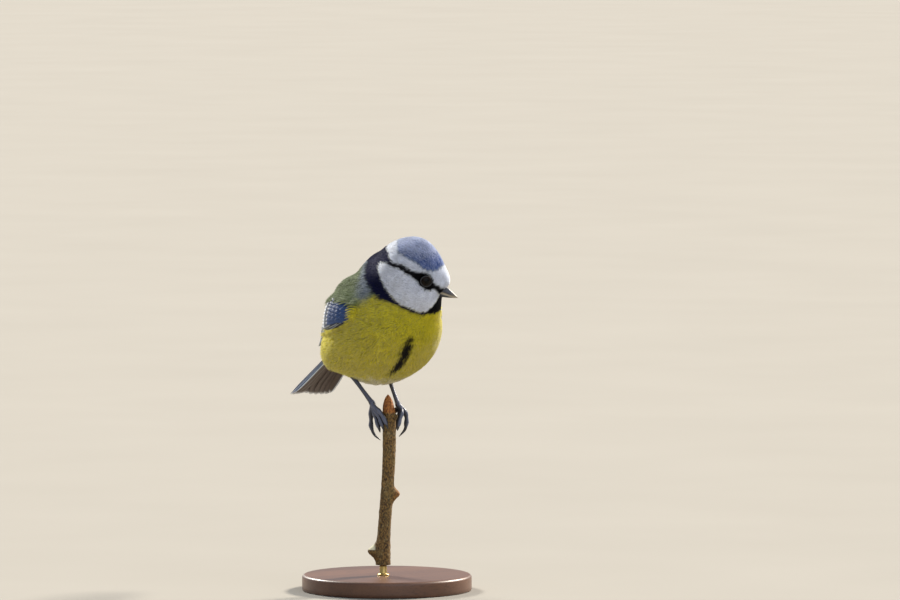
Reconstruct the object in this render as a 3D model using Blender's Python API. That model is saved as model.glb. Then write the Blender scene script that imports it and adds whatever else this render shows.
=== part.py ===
# Blue tit perched on top of a cut twig, held by a plain round display stand, at life size.
# Lengths are in millimetres until a mesh is made, when MM turns them to metres.
# The bird's body faces -Y and its left side is +X. The stand's underside is at z = 0.
import math

import bmesh
import bpy
import numpy as np

MM = 0.001
GAP = 0.32  # kept between nodes that touch
TAU = 2 * math.pi

# Stand
BASE_RADIUS = 32.0
BASE_HEIGHT = 6.0
BASE_EDGE = 1.2
ROD_RADIUS = 1.4
TWIG_FOOT = 10.0  # height of the twig's cut lower end

# Twig: the axis leans a little, and the feet hold it near its top
TWIG_TOP = 74.3
PERCH = np.array([-0.9, -2.3])
TWIG_LEAN = np.array([-1.8, -0.9])  # how far the lower end stands from the perch

# Body
TORSO_CENTRE = np.array([0.0, 3.0, 98.0])
HEAD_CENTRE = np.array([2.8, -11.3, 119.3])
HEAD_YAW = 43.0  # turned to the bird's left
HEAD_PITCH = 18.0  # bill down
HEAD_ROLL = -9.0  # crown leant to the bird's right
BLEND = 1.3  # how softly the body's masses run together
NECK_CUTS = (10.5, 15.5)  # from the torso's centre towards the head

# Eye and bill, in the head's own frame: left, back, up
EYE_AIM = np.array([9.3, -9.6, 3.2])
EYE_RADIUS = 2.5
EYE_PROUD = 0.95
LID_RADIUS = 2.3
LID_THICK = 0.42
BILL_ROOT = 11.5
BILL_TIP = 20.7
BILL_GAPE = -1.6
NOSTRIL = (1.35, -15.4, 0.1)

# Tail
TAIL_TIP = np.array([-0.6, 56.4, 73.2])
TAIL_LENGTH = 46.0
TAIL_SLOPE = 35.0
TAIL_ROLL = 8.0  # the bird's right edge up
TAIL_SWING = 2.0  # the tip to the bird's right
TAIL_HALF_TIP = 11.4  # half width along the feathers' surface
TAIL_HALF_ROOT = 5.6
TAIL_FLAT = 0.56  # share of the half width that is flat
TAIL_BEND = 0.36  # radius that the edges bend down with, to the half width
VANE = 0.75  # thickness of a feather's vane in the solids


# Turning and placing

def turn_x(degrees):
    c, s = math.cos(math.radians(degrees)), math.sin(math.radians(degrees))
    return np.array([[1, 0, 0], [0, c, -s], [0, s, c]])


def turn_y(degrees):
    c, s = math.cos(math.radians(degrees)), math.sin(math.radians(degrees))
    return np.array([[c, 0, s], [0, 1, 0], [-s, 0, c]])


def turn_z(degrees):
    c, s = math.cos(math.radians(degrees)), math.sin(math.radians(degrees))
    return np.array([[c, -s, 0], [s, c, 0], [0, 0, 1]])


HEAD_TURN = turn_z(HEAD_YAW) @ turn_x(HEAD_PITCH) @ turn_y(HEAD_ROLL)


def from_head(local):
    return HEAD_CENTRE + np.asarray(local, float) @ HEAD_TURN.T


def unit(v):
    v = np.asarray(v, float)
    return v / np.linalg.norm(v, axis=-1, keepdims=True)


NECK_AXIS = unit(HEAD_CENTRE - TORSO_CENTRE)


# Body masses: centre, radii and turn of each rounded mass

def body_masses():
    level = np.eye(3)
    cheek = np.array([6.2, -3.6, -4.6])
    return [
        (np.array([0.0, 0.2, 99.0]), (21.0, 21.4, 19.5), turn_x(-20)),
        (np.array([0.0, 9.5, 96.0]), (17.2, 20.2, 16.4), turn_x(-30)),
        (np.array([11.2, 7.5, 92.0]), (9.2, 14.5, 8.8), turn_x(-24)),
        (np.array([-11.2, 7.5, 92.0]), (9.2, 14.5, 8.8), turn_x(-24)),
        (np.array([0.0, 6.0, 87.2]), (11.0, 12.5, 9.2), level),
        (np.array([0.0, 1.0, 107.5]), (17.4, 15.6, 13.2), level),
        (np.array([0.0, -0.5, 114.0]), (12.6, 12.0, 12.4), level),
        (np.array([0.0, 20.0, 94.5]), (10.2, 13.0, 8.6), turn_x(-35)),
        (np.array([0.0, 28.5, 92.4]), (6.6, 11.5, 4.6), turn_x(-35)),
        (HEAD_CENTRE, (11.8, 13.9, 14.4), HEAD_TURN),
        (from_head(cheek), (6.6, 8.4, 7.0), HEAD_TURN),
        (from_head(cheek * (-1, 1, 1)), (6.6, 8.4, 7.0), HEAD_TURN),
        (from_head((0, -6.4, -9.4)), (8.0, 8.4, 7.0), HEAD_TURN),
        (from_head((0, -9.4, 2.2)), (5.6, 6.2, 4.7), HEAD_TURN),
        (from_head((0, -0.5, 5.0)), (7.8, 7.8, 9.8), HEAD_TURN),
        (np.array([0.0, -1.2, 117.0]), (9.8, 9.8, 11.3), level),
        (np.array([8.2, 6.7, 108.4]), (9.7, 9.8, 10.3), level),
        (np.array([-8.2, 6.7, 108.4]), (9.7, 9.8, 10.3), level),
    ]


MASSES = body_masses()


def mass_distance(points, centre, radii, turn):
    local = (points - centre) @ turn
    near = np.linalg.norm(local / np.array(radii), axis=-1)
    slope = np.linalg.norm(local / np.array(radii) ** 2, axis=-1)
    return near * (near - 1) / np.maximum(slope, 1e-9)


def body_field(points):
    """Negative inside the plumage, zero on its surface, about the distance in mm near it."""
    total = sum(np.exp(-mass_distance(points, *mass) / BLEND) for mass in MASSES)
    return -BLEND * np.log(total + 1e-300)


def body_normals(points):
    step = 0.05
    axes = np.eye(3) * step
    slope = [body_field(points + axis) - body_field(points - axis) for axis in axes]
    return unit(np.stack(slope, axis=-1))


def reach(centre, directions, level=0.0, furthest=60.0):
    """Points where rays from the centre leave the body."""
    low = np.zeros(len(directions))
    high = np.full(len(directions), furthest)
    for _ in range(40):
        middle = (low + high) / 2
        inside = body_field(centre + directions * middle[:, None]) < level
        low = np.where(inside, middle, low)
        high = np.where(inside, high, middle)
    return centre + directions * low[:, None]


# Meshes from points and faces

def make_object(name, points, faces, smooth=True):
    mesh = bpy.data.meshes.new(name)
    mesh.from_pydata((np.asarray(points) * MM).tolist(), [], [list(map(int, f)) for f in faces])
    mesh.update()
    obj = bpy.data.objects.new(name, mesh)
    bpy.context.scene.collection.objects.link(obj)
    tidy(obj)
    if smooth:
        mesh.shade_smooth()
    return obj


def tidy(obj):
    """One outward-facing mesh with no doubled points."""
    bm = bmesh.new()
    bm.from_mesh(obj.data)
    bmesh.ops.remove_doubles(bm, verts=bm.verts, dist=1e-7)
    bmesh.ops.recalc_face_normals(bm, faces=bm.faces)
    bm.to_mesh(obj.data)
    bm.free()


def ball_grid(around, along, axis_turn):
    """Directions and faces of a globe whose poles lie on the turned Y axis."""
    directions = [axis_turn @ np.array([0.0, -1.0, 0.0])]
    for j in range(1, along):
        angle = math.pi * j / along
        for i in range(around):
            spin = TAU * i / around
            local = (math.sin(angle) * math.cos(spin), -math.cos(angle), math.sin(angle) * math.sin(spin))
            directions.append(axis_turn @ np.array(local))
    directions.append(axis_turn @ np.array([0.0, 1.0, 0.0]))
    last = len(directions) - 1
    faces = []
    for i in range(around):
        after = (i + 1) % around
        faces.append((0, 1 + after, 1 + i))
        faces.append((last, last - around + i, last - around + after))
    for j in range(along - 2):
        for i in range(around):
            after = (i + 1) % around
            a, b = 1 + j * around + i, 1 + j * around + after
            faces.append((a, b, b + around))
            faces.append((a, b + around, a + around))
    return np.array(directions), faces


def body_mesh(name, centre, around, along, turn, grow=0.0):
    directions, faces = ball_grid(around, along, turn)
    points = reach(centre, directions)
    if grow:
        points = points + body_normals(points) * grow
    return make_object(name, points, faces)


def slice_off(obj, point, normal):
    """Cuts away what lies beyond the plane, on the side its normal points to, and caps the cut."""
    bm = bmesh.new()
    bm.from_mesh(obj.data)
    geometry = bm.verts[:] + bm.edges[:] + bm.faces[:]
    cut = bmesh.ops.bisect_plane(
        bm, geom=geometry, dist=1e-7, plane_co=tuple(np.asarray(point) * MM), plane_no=tuple(normal), clear_outer=True
    )
    edges = [e for e in cut["geom_cut"] if isinstance(e, bmesh.types.BMEdge)]
    bmesh.ops.triangle_fill(bm, edges=edges, use_beauty=True)
    bmesh.ops.recalc_face_normals(bm, faces=bm.faces)
    bm.to_mesh(obj.data)
    bm.free()


def keep_largest(obj):
    """Drops every closed surface but the largest."""
    bm = bmesh.new()
    bm.from_mesh(obj.data)
    bm.verts.ensure_lookup_table()
    left = set(bm.verts)
    shells = []
    while left:
        start = left.pop()
        shell, edge = {start}, [start]
        while edge:
            vert = edge.pop()
            for link in vert.link_edges:
                other = link.other_vert(vert)
                if other in left:
                    left.discard(other)
                    shell.add(other)
                    edge.append(other)
        shells.append(shell)
    shells.sort(key=len)
    loose = [v for shell in shells[:-1] for v in shell]
    bmesh.ops.delete(bm, geom=loose, context="VERTS")
    bm.to_mesh(obj.data)
    bm.free()


def settle(obj):
    """Replaces the object's mesh by the mesh that its modifiers make."""
    graph = bpy.context.evaluated_depsgraph_get()
    graph.update()
    made = bpy.data.meshes.new_from_object(obj.evaluated_get(graph))
    obj.modifiers.clear()
    obj.data = made


def remove(*objects):
    for obj in objects:
        bpy.data.objects.remove(obj)


def boolean(obj, other, operation):
    step = obj.modifiers.new(operation.lower(), "BOOLEAN")
    step.operation = operation
    step.object = other
    step.solver = "EXACT"
    settle(obj)


def fuse(name, pieces):
    """One closed body from overlapping closed pieces."""
    whole = pieces[0]
    whole.name = name
    group = bpy.data.collections.new(name + "_pieces")
    for piece in pieces[1:]:
        group.objects.link(piece)
    step = whole.modifiers.new("union", "BOOLEAN")
    step.operation = "UNION"
    step.operand_type = "COLLECTION"
    step.collection = group
    step.solver = "EXACT"
    settle(whole)
    remove(*pieces[1:])
    bpy.data.collections.remove(group)
    keep_largest(whole)
    return whole


# Curves and tubes

def smooth_curve(knots, count):
    """Points on a Catmull-Rom curve through the knots, evenly spaced along it."""
    knots = np.asarray(knots, float)
    ends = np.vstack([2 * knots[0] - knots[1], knots, 2 * knots[-1] - knots[-2]])
    fine = []
    for k in range(1, len(ends) - 2):
        p0, p1, p2, p3 = ends[k - 1 : k + 3]
        for t in np.linspace(0, 1, 20, endpoint=False):
            curve = 2 * p1 + (p2 - p0) * t + (2 * p0 - 5 * p1 + 4 * p2 - p3) * t ** 2
            curve = curve + (3 * p1 - p0 - 3 * p2 + p3) * t ** 3
            fine.append(curve / 2)
    fine = np.array(fine + [ends[-2]])
    run = np.concatenate([[0], np.cumsum(np.linalg.norm(np.diff(fine, axis=0), axis=1))])
    even = np.linspace(0, run[-1], count)
    return np.stack([np.interp(even, run, fine[:, k]) for k in range(fine.shape[1])], axis=1)


def tube(name, path, radii, sides=8, flat=1.0):
    """A round tube along the path. flat squeezes it across its first side direction."""
    path = np.asarray(path, float)
    tangents = unit(np.gradient(path, axis=0))
    guide = np.array([0.0, 0.0, 1.0]) if abs(tangents[0][2]) < 0.9 else np.array([1.0, 0.0, 0.0])
    side = unit(np.cross(tangents[0], guide))
    points, faces = [], []
    for point, tangent, radius in zip(path, tangents, radii):
        side = unit(side - tangent * np.dot(side, tangent))
        up = np.cross(tangent, side)
        for k in range(sides):
            angle = TAU * k / sides
            points.append(point + radius * (flat * math.cos(angle) * side + math.sin(angle) * up))
    rings = len(path)
    for j in range(rings - 1):
        for k in range(sides):
            after = (k + 1) % sides
            a, b = j * sides + k, j * sides + after
            faces.append((a, b, b + sides))
            faces.append((a, b + sides, a + sides))
    for ring in (0, rings - 1):
        points.append(path[ring])
        for k in range(sides):
            faces.append((len(points) - 1, ring * sides + k, ring * sides + (k + 1) % sides))
    return make_object(name, points, faces)


def turned(name, profile, sides=44, centre=(0.0, 0.0)):
    """A solid of revolution about a vertical axis, from (radius, height) pairs that start and end on it."""
    inner = [p for p in profile if p[0] > 0]
    points, faces = [], []
    for radius, height in inner:
        for k in range(sides):
            angle = TAU * k / sides
            points.append((centre[0] + radius * math.cos(angle), centre[1] + radius * math.sin(angle), height))
    for j in range(len(inner) - 1):
        for k in range(sides):
            after = (k + 1) % sides
            a, b = j * sides + k, j * sides + after
            faces.append((a, b, b + sides, a + sides))
    faces.append([k for k in range(sides)])
    faces.append([(len(inner) - 1) * sides + k for k in range(sides)])
    return make_object(name, points, faces, smooth=False)


def smoothly(t):
    t = np.clip(t, 0.0, 1.0)
    return t * t * (3 - 2 * t)


# Feather vanes laid on a curved chart

def vane_outline(along, full, root_share, tip_share):
    """Half width of a feather: narrow root, long even blade and rounded tip."""
    rise = root_share + (1 - root_share) * smoothly(along / 0.45)
    fall = math.sqrt(max(0.0, 1 - max(0.0, (along - 1 + tip_share) / tip_share) ** 2))
    return full * rise * max(fall, 0.3)


def vane(name, chart, root, tip, width, height, tilt=0.0, bow=0.0, steps=5, tip_share=0.3, thick=VANE):
    """A feather as a thin closed blade. root and tip are places on the chart, and height says how
    far its root and tip lie above the chart. tilt raises the edge on the chart's upper side."""
    root, tip = np.array(root, float), np.array(tip, float)
    run = tip - root
    across = np.array([-run[1], run[0]]) / np.linalg.norm(run)
    shares = [0.0, 0.3, 0.58, 0.8, 0.93, 1.0] if steps == 5 else [0.0, 0.45, 0.78, 0.94, 1.0]
    top, bottom = [], []
    for u in shares:
        half = vane_outline(u, width / 2, 0.45, tip_share)
        middle = root + run * u + across * bow * math.sin(math.pi * u)
        rise = height[0] + (height[1] - height[0]) * u
        for j in (-1, 0, 1):
            s, t = middle + across * half * j
            lift = rise + tilt * j + (0.12 if j == 0 else 0.0)
            body = thick / 2 * (1.0 - 0.35 * u)
            top.append(chart(s, t, lift + body))
            bottom.append(chart(s, t, lift - body))
    points = np.array(top + bottom)
    rows, cols, half_count = len(shares), 3, len(top)
    faces = []
    for i in range(rows - 1):
        for j in range(cols - 1):
            a = i * cols + j
            b, c, d = a + 1, a + cols + 1, a + cols
            for low in (0, half_count):
                faces.append((a + low, b + low, c + low))
                faces.append((a + low, c + low, d + low))
    rim = [j for j in range(cols)] + [i * cols + cols - 1 for i in range(1, rows)]
    rim += [(rows - 1) * cols + j for j in range(cols - 2, -1, -1)]
    rim += [i * cols for i in range(rows - 2, 0, -1)]
    for k, a in enumerate(rim):
        b = rim[(k + 1) % len(rim)]
        faces.append((a, b, b + half_count))
        faces.append((a, b + half_count, a + half_count))
    return make_object(name, points, faces)


# Wing: a chart that lies on the bird's side, s along the wing and t up across it

WING_SPINE = [
    (16.2, -6.0, 105.6),
    (18.2, 2.5, 104.9),
    (17.4, 11.5, 103.4),
    (13.4, 21.5, 100.2),
    (8.8, 30.0, 96.4),
    (5.0, 37.5, 92.6),
]
WING_BEND = 17.0  # radius of the wing's roundness across


class WingChart:
    def __init__(self, side):
        self.side = side
        spine = smooth_curve(WING_SPINE, 61)
        normals = body_normals(spine)
        for _ in range(6):
            normals[1:-1] = (normals[:-2] + normals[1:-1] * 2 + normals[2:]) / 4
        tangents = unit(np.gradient(spine, axis=0))
        normals = unit(normals - tangents * np.sum(normals * tangents, axis=1, keepdims=True))
        outside = reach_out(spine, normals, 0.55)
        self.spine = spine + normals * outside[:, None]
        self.normals = normals
        self.across = np.cross(tangents, normals)
        if self.across[0][2] < 0:
            self.across = -self.across
        self.run = np.concatenate([[0], np.cumsum(np.linalg.norm(np.diff(self.spine, axis=0), axis=1))])

    def at(self, values, s):
        return np.array([np.interp(s, self.run, values[:, k]) for k in range(3)])

    def __call__(self, s, t, h):
        point, normal, across = (self.at(v, s) for v in (self.spine, self.normals, self.across))
        beyond = max(0.0, s - self.run[-1])
        if beyond:
            point = point + unit(self.spine[-1] - self.spine[-3]) * beyond
        angle = t / WING_BEND
        place = point + across * WING_BEND * math.sin(angle)
        place = place + normal * (h - WING_BEND * (1 - math.cos(angle)))
        return place * (self.side, 1, 1)


def reach_out(points, normals, clearance):
    """How far each point moves along its normal to stand that clear of the body, or 0 if it does."""
    needed = np.zeros(len(points))
    for _ in range(12):
        short = clearance - body_field(points + normals * needed[:, None])
        needed = np.maximum(needed + short, 0.0)
    for _ in range(4):
        needed[1:-1] = np.maximum(needed[1:-1], (needed[:-2] + needed[2:]) / 2)
    return needed


def wing(name, side, cutter):
    chart = WingChart(side)
    pieces = [wing_core(name + "_core", chart)]

    def add(root, tip, width, height, **more):
        pieces.append(vane(f"{name}_{len(pieces)}", chart, root, tip, width, height, **more))

    for k in range(5):  # primaries: the lowest edge, longest, stacked inwards
        add((15, -4.6 + 0.8 * k), (54.0 - 3.6 * k, -1.2 + 0.6 * k), 4.2, (0.1 + 0.1 * k, 0.1 + 0.3 * k), tilt=-0.2)
    for k in range(4):  # secondaries
        add((14, -1.6 + 1.4 * k), (41.0 - 2.8 * k, 0.2 + 1.3 * k), 4.8, (0.4, 0.95 + 0.22 * k), tilt=-0.25)
    for k in range(3):  # tertials lie on top
        add((15, 3.0 + 0.8 * k), (37.5 - 5.0 * k, 4.0 + 1.1 * k), 5.6, (0.9, 1.55 + 0.3 * k), tilt=-0.25)
    for k in range(3):  # alula and primary coverts along the lower edge
        add((5.5, -4.2 + 0.5 * k), (26.0 - 4.0 * k, -5.4 + 1.1 * k), 3.6, (0.5, 0.75 + 0.3 * k), tilt=-0.2)
    for k in range(6):  # greater coverts, whose tips make the wing bar
        add((7, -3.2 + 1.6 * k), (21.6 - 0.7 * k, -3.8 + 2.0 * k), 3.5, (0.9, 1.75), tilt=-0.3, steps=4)
    for k in range(5):  # median coverts
        add((3, -2.8 + 1.8 * k), (14.0 - 0.5 * k, -3.6 + 2.3 * k), 3.7, (0.2, 2.0), tilt=-0.3, steps=4)
    whole = fuse(name, pieces)
    boolean(whole, cutter, "DIFFERENCE")
    keep_largest(whole)
    return whole


def wing_core(name, chart):
    """The forearm and its small feathers: a low smooth pad that every vane is rooted in."""
    rows, cols = 9, 6
    top, bottom = [], []
    for i in range(rows + 1):
        u = i / rows
        s = -1.0 + 35.0 * u
        half = 1.0 + 6.4 * math.sin(math.pi * min(1.0, 0.12 + u * 0.86)) ** 0.6
        centre = 0.6 + 1.0 * u
        for j in range(cols + 1):
            v = -1 + 2 * j / cols
            bulge = (1 - v * v) ** 0.5 if abs(v) < 1 else 0.0
            swell = 1.65 * math.sin(math.pi * (0.15 + 0.8 * u)) ** 0.7
            front = smoothly(u / 0.2)
            top.append(chart(s, centre + half * v, -0.4 + (0.55 + swell * bulge) * front))
            bottom.append(chart(s, centre + half * v, -0.9))
    points = np.array(top + bottom)
    count, wide = len(top), cols + 1
    faces = []
    for i in range(rows):
        for j in range(cols):
            a = i * wide + j
            for low in (0, count):
                faces.append((a + low, a + 1 + low, a + wide + 1 + low))
                faces.append((a + low, a + wide + 1 + low, a + wide + low))
    rim = [j for j in range(wide)] + [i * wide + cols for i in range(1, rows + 1)]
    rim += [rows * wide + j for j in range(cols - 1, -1, -1)] + [i * wide for i in range(rows - 1, 0, -1)]
    for k, a in enumerate(rim):
        b = rim[(k + 1) % len(rim)]
        faces.append((a, b, b + count))
        faces.append((a, b + count, a + count))
    return make_object(name, points, faces)


# Tail: s runs from the root to the tip, t across it, and the outer edges bend down

def tail_chart(s, t, h):
    share = s / TAIL_LENGTH
    half = TAIL_HALF_ROOT + (TAIL_HALF_TIP - TAIL_HALF_ROOT) * share
    flat, bend = TAIL_FLAT * half, TAIL_BEND * half
    angle = max(0.0, abs(t) - flat) / bend
    lateral = min(abs(t), flat) + (bend + h) * math.sin(angle)
    rise = (bend + h) * math.cos(angle) - bend
    turn = turn_z(TAIL_SWING) @ turn_x(-TAIL_SLOPE) @ turn_y(TAIL_ROLL)
    return TAIL_TIP + turn @ np.array([math.copysign(lateral, t), s - TAIL_LENGTH, rise])


def tail(name, cutter):
    pieces = []
    shafts = (1.0, 3.0, 5.0, 6.9, 8.5, 9.9)
    ends = (0.6, 0.8, 0.55, 0.0, -1.05, -2.45)  # the tail's end is gently rounded
    for k, (shaft, end) in enumerate(zip(shafts, ends)):
        for side in (-1, 1):
            root = (0.0, side * shaft * 0.4)
            tip = (TAIL_LENGTH + end, side * shaft)
            low = -0.4 * k
            made = vane(f"{name}_{k}_{side}", tail_chart, root, tip, 6.4 - 0.4 * k, (low, low), tip_share=0.14)
            pieces.append(made)
    whole = fuse(name, pieces)
    boolean(whole, cutter, "DIFFERENCE")
    keep_largest(whole)
    return whole


# Head, eyes and bill

def eye_place(side):
    """The eyeball's centre and the way it looks."""
    aim = unit((EYE_AIM * (side, 1, 1)) @ HEAD_TURN.T)
    surface = reach(HEAD_CENTRE, aim[None, :])[0]
    outward = unit(body_normals(surface[None, :])[0] + 0.35 * aim)
    return surface + outward * (EYE_PROUD - EYE_RADIUS), outward


def ball(name, centre, radius, around=16, along=9, axis=(0.0, -1.0, 0.0)):
    """A sphere whose poles lie along the axis."""
    axis = unit(axis)
    side = unit(np.cross(axis, (0.3, 0.2, 1.0)))
    turn = np.stack([side, -axis, np.cross(side, -axis)], axis=1)
    directions, faces = ball_grid(around, along, turn)
    return make_object(name, centre + directions * radius, faces)


def ring(name, centre, axis, radius, thick, around=18, sides=5):
    """A closed ring such as an eyelid's rim."""
    axis = unit(axis)
    side = unit(np.cross(axis, (0.3, 0.2, 1.0)))
    up = np.cross(axis, side)
    points, faces = [], []
    for i in range(around):
        angle = TAU * i / around
        out = math.cos(angle) * side + math.sin(angle) * up
        for k in range(sides):
            spin = TAU * k / sides
            points.append(centre + out * (radius + thick * math.cos(spin)) + axis * thick * math.sin(spin))
    for i in range(around):
        for k in range(sides):
            a, b = i * sides + k, i * sides + (k + 1) % sides
            c, d = (i + 1) % around * sides + (k + 1) % sides, (i + 1) % around * sides + k
            faces.append((a, b, c, d))
    return make_object(name, points, faces)


def head_and_eyes():
    head = body_mesh("head", HEAD_CENTRE, 34, 22, HEAD_TURN)
    slice_off(head, TORSO_CENTRE + NECK_AXIS * (NECK_CUTS[1] + GAP / 2), -NECK_AXIS)
    lids, sockets = [], []
    for side, name in ((1, "eye_left"), (-1, "eye_right")):
        centre, outward = eye_place(side)
        rim = centre + outward * (EYE_RADIUS - EYE_PROUD)
        lids.append(ring(name + "_lid", rim, outward, LID_RADIUS, LID_THICK))
        sockets.append(ball(name + "_socket", centre, EYE_RADIUS + GAP, axis=outward))
        ball(name, centre, EYE_RADIUS, axis=outward)
    head = fuse("head", [head] + lids)
    for socket in sockets:
        boolean(head, socket, "DIFFERENCE")
        remove(socket)
    return head


def mandible(name, upper):
    """Half of the bill: a tapering half-round horn, flat along the line where the halves meet."""
    rings, sides = 9, 10
    length = BILL_TIP - BILL_ROOT if upper else BILL_TIP - BILL_ROOT - 0.7
    points, faces = [], []
    for i in range(rings + 1):
        u = i / rings
        taper = (1 - u ** 1.55) if upper else (1 - u ** 1.9)
        half = max(0.16, 2.15 * taper)
        deep = max(0.22, (3.15 if upper else 1.95) * taper)
        line = BILL_GAPE + (GAP / 2 if upper else -GAP / 2) - 0.25 * u * u
        for k in range(sides):
            angle = math.pi * k / (sides - 1)
            rise = deep * math.sin(angle) ** 0.8 if 0 < k < sides - 1 else 0.0
            height = line + (rise if upper else -rise)
            points.append(from_head((half * math.cos(angle), -(BILL_ROOT + length * u), height)))
    for i in range(rings):
        for k in range(sides):
            after = (k + 1) % sides
            a, b = i * sides + k, i * sides + after
            faces.append((a, b, b + sides))
            faces.append((a, b + sides, a + sides))
    faces.append(list(range(sides)))
    faces.append([rings * sides + k for k in range(sides)])
    return make_object(name, points, faces)


def bill(cutter):
    for name, upper in (("bill_upper", True), ("bill_lower", False)):
        half = mandible(name, upper)
        boolean(half, cutter, "DIFFERENCE")
        for side in (-1, 1) if upper else ():
            nostril = ball("nostril", from_head((side * NOSTRIL[0], *NOSTRIL[1:])), 0.34, around=8, along=6)
            boolean(half, nostril, "DIFFERENCE")
            remove(nostril)
        keep_largest(half)


# Twig, with its bud, and the feet that hold it

# Height and radius up the stem and its end bud
STEM = (
    (10.0, 2.75), (24.0, 2.35), (40.0, 2.3), (56.0, 2.45), (66.0, 2.5), (68.0, 2.35), (70.2, 1.97), (71.8, 1.5),
    (73.2, 0.85), (TWIG_TOP, 0.12),
)
# Height, direction, how far out, how tall and how wide each lump is
TWIG_LUMPS = ((36.6, 62, 2.6, 2.2, 34), (15.2, -122, 3.3, 2.4, 36), (65.8, 48, 0.9, 0.9, 40))


def twig_axis(z):
    share = (TWIG_TOP - z) / (TWIG_TOP - TWIG_FOOT)
    sway = 0.75 * math.sin(share * 5.0)
    return PERCH + TWIG_LEAN * share + np.array([sway, -0.4 * sway])


def twig_radius(z, angle):
    """Radius of the twig, with its pointed end bud, knots and side bud."""
    stem = np.interp(z, *zip(*STEM))
    for height, way, out, tall, wide in TWIG_LUMPS:
        off = (angle - way + 180) % 360 - 180
        stem += out * math.exp(-((z - height) / tall) ** 2 - (off / wide) ** 2)
    return max(stem, 0.12)


def twig(name):
    sides = 12
    heights = list(np.linspace(TWIG_FOOT, 64.0, 27)) + [65.0, 66.0, 67.0, 68.2, 69.4, 70.6, 71.6, 72.5, 73.3, 73.9]
    points, faces = [], []
    for z in heights:
        x, y = twig_axis(z)
        for k in range(sides):
            angle = 360 * k / sides
            r = twig_radius(z, angle)
            points.append((x + r * math.sin(math.radians(angle)), y - r * math.cos(math.radians(angle)), z))
    for j in range(len(heights) - 1):
        for k in range(sides):
            after = (k + 1) % sides
            a, b = j * sides + k, j * sides + after
            faces.append((a, b, b + sides))
            faces.append((a, b + sides, a + sides))
    points.append((*twig_axis(TWIG_TOP), TWIG_TOP))
    last = (len(heights) - 1) * sides
    for k in range(sides):
        faces.append((len(points) - 1, last + k, last + (k + 1) % sides))
    faces.append(list(range(sides)))
    return make_object(name, points, faces)


def round_twig(angle, radius, z):
    """A place beside the twig: the angle turns from the bird's front to its left."""
    x, y = twig_axis(z)
    a = math.radians(angle)
    return (x + radius * math.sin(a), y - radius * math.cos(a), z)


# Each toe as places round the twig: angle, radius, height. Its share is how much of it is toe, and the rest is claw.
FEET = {
    "right": {
        "ankle": (-116, 5.9, 70.6),
        "toes": [
            (0.74, (-99, 5.4, 69.4), (-78, 4.5, 67.6), (-58, 4.0, 65.2), (-44, 3.85, 62.8), (-36, 3.8, 61.0), (-29, 3.5, 59.4)),
            (0.74, (-107, 5.6, 69.0), (-93, 4.8, 66.9), (-81, 4.2, 64.6), (-70, 3.9, 62.2), (-62, 3.8, 60.3), (-55, 3.5, 58.7)),
            (0.74, (-116, 5.8, 68.6), (-112, 5.2, 66.2), (-105, 4.7, 63.9), (-97, 4.2, 61.6), (-91, 3.9, 59.7), (-85, 3.5, 58.1)),
            (0.56, (-125, 6.6, 68.3), (-131, 6.8, 65.9), (-136, 7.0, 63.6), (-137, 7.0, 61.8), (-130, 5.7, 59.0), (-122, 3.3, 56.9)),
        ],
    },
    "left": {
        "ankle": (64, 3.8, 69.9),
        "toes": [
            (0.72, (57, 4.7, 68.6), (44, 4.8, 66.8), (32, 4.4, 64.6), (24, 4.05, 62.2), (19, 3.9, 60.4), (14, 3.5, 58.9)),
            (0.64, (62, 5.3, 68.7), (62, 6.3, 66.9), (61, 6.6, 64.9), (60, 6.4, 63.0), (60, 5.8, 60.8), (60, 3.6, 58.2)),
            (0.72, (80, 5.0, 68.5), (92, 4.7, 66.4), (100, 4.3, 64.2), (106, 4.0, 62.0), (110, 3.9, 60.2), (113, 3.5, 58.6)),
            (0.70, (96, 4.6, 68.9), (122, 4.4, 67.2), (142, 4.1, 65.2), (154, 4.0, 63.0), (162, 3.9, 61.0), (168, 3.5, 59.2)),
        ],
    },
}
LEG_TOPS = {"right": (-9.0, 12.6, 82.2), "left": (7.6, 13.0, 81.8)}
TOE_RADIUS = 0.84


def foot_and_claws(side):
    plan = FEET[side]
    ankle = np.array(round_twig(*plan["ankle"]))
    top = np.array(LEG_TOPS[side])
    shin = unit(top - ankle)
    pieces = [tube("pad", [ankle - shin * 0.7, ankle, ankle + shin * 1.2, ankle + shin * 2.4], (0.8, 1.15, 1.05, 0.85))]
    for number, (share, *places) in enumerate(plan["toes"], 1):
        path = smooth_curve([tuple(ankle)] + [round_twig(*place) for place in places], 61)
        split = int(60 * share)
        along = np.linspace(0, 1, 10)
        radii = TOE_RADIUS * (1.08 - 0.26 * along) * (1 + 0.13 * np.cos(along * TAU * 2.5))
        rows = np.round(along * split).astype(int)
        pieces.append(tube(f"toe_{number}", path[rows], radii))
        start = split + int(np.ceil(GAP / np.linalg.norm(path[1] - path[0])))
        rows = np.round(np.linspace(start, 60, 6)).astype(int)
        tube(f"claw_{side}_{number}", path[rows], (0.5, 0.47, 0.41, 0.32, 0.21, 0.1), sides=6)
    foot = fuse(f"foot_{side}", pieces)
    slice_off(foot, ankle + shin * 1.9, shin)
    return ankle + shin * (1.9 + GAP), top


def leg(side, start, top, cutter):
    along = np.linspace(0, 1, 8)
    path = [start + (top - start) * u for u in along]
    radii = 0.72 + 0.22 * (2 * along - 1) ** 2 + 0.25 * along ** 3
    shank = tube(f"leg_{side}", path, radii)
    boolean(shank, cutter, "DIFFERENCE")
    keep_largest(shank)


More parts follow.
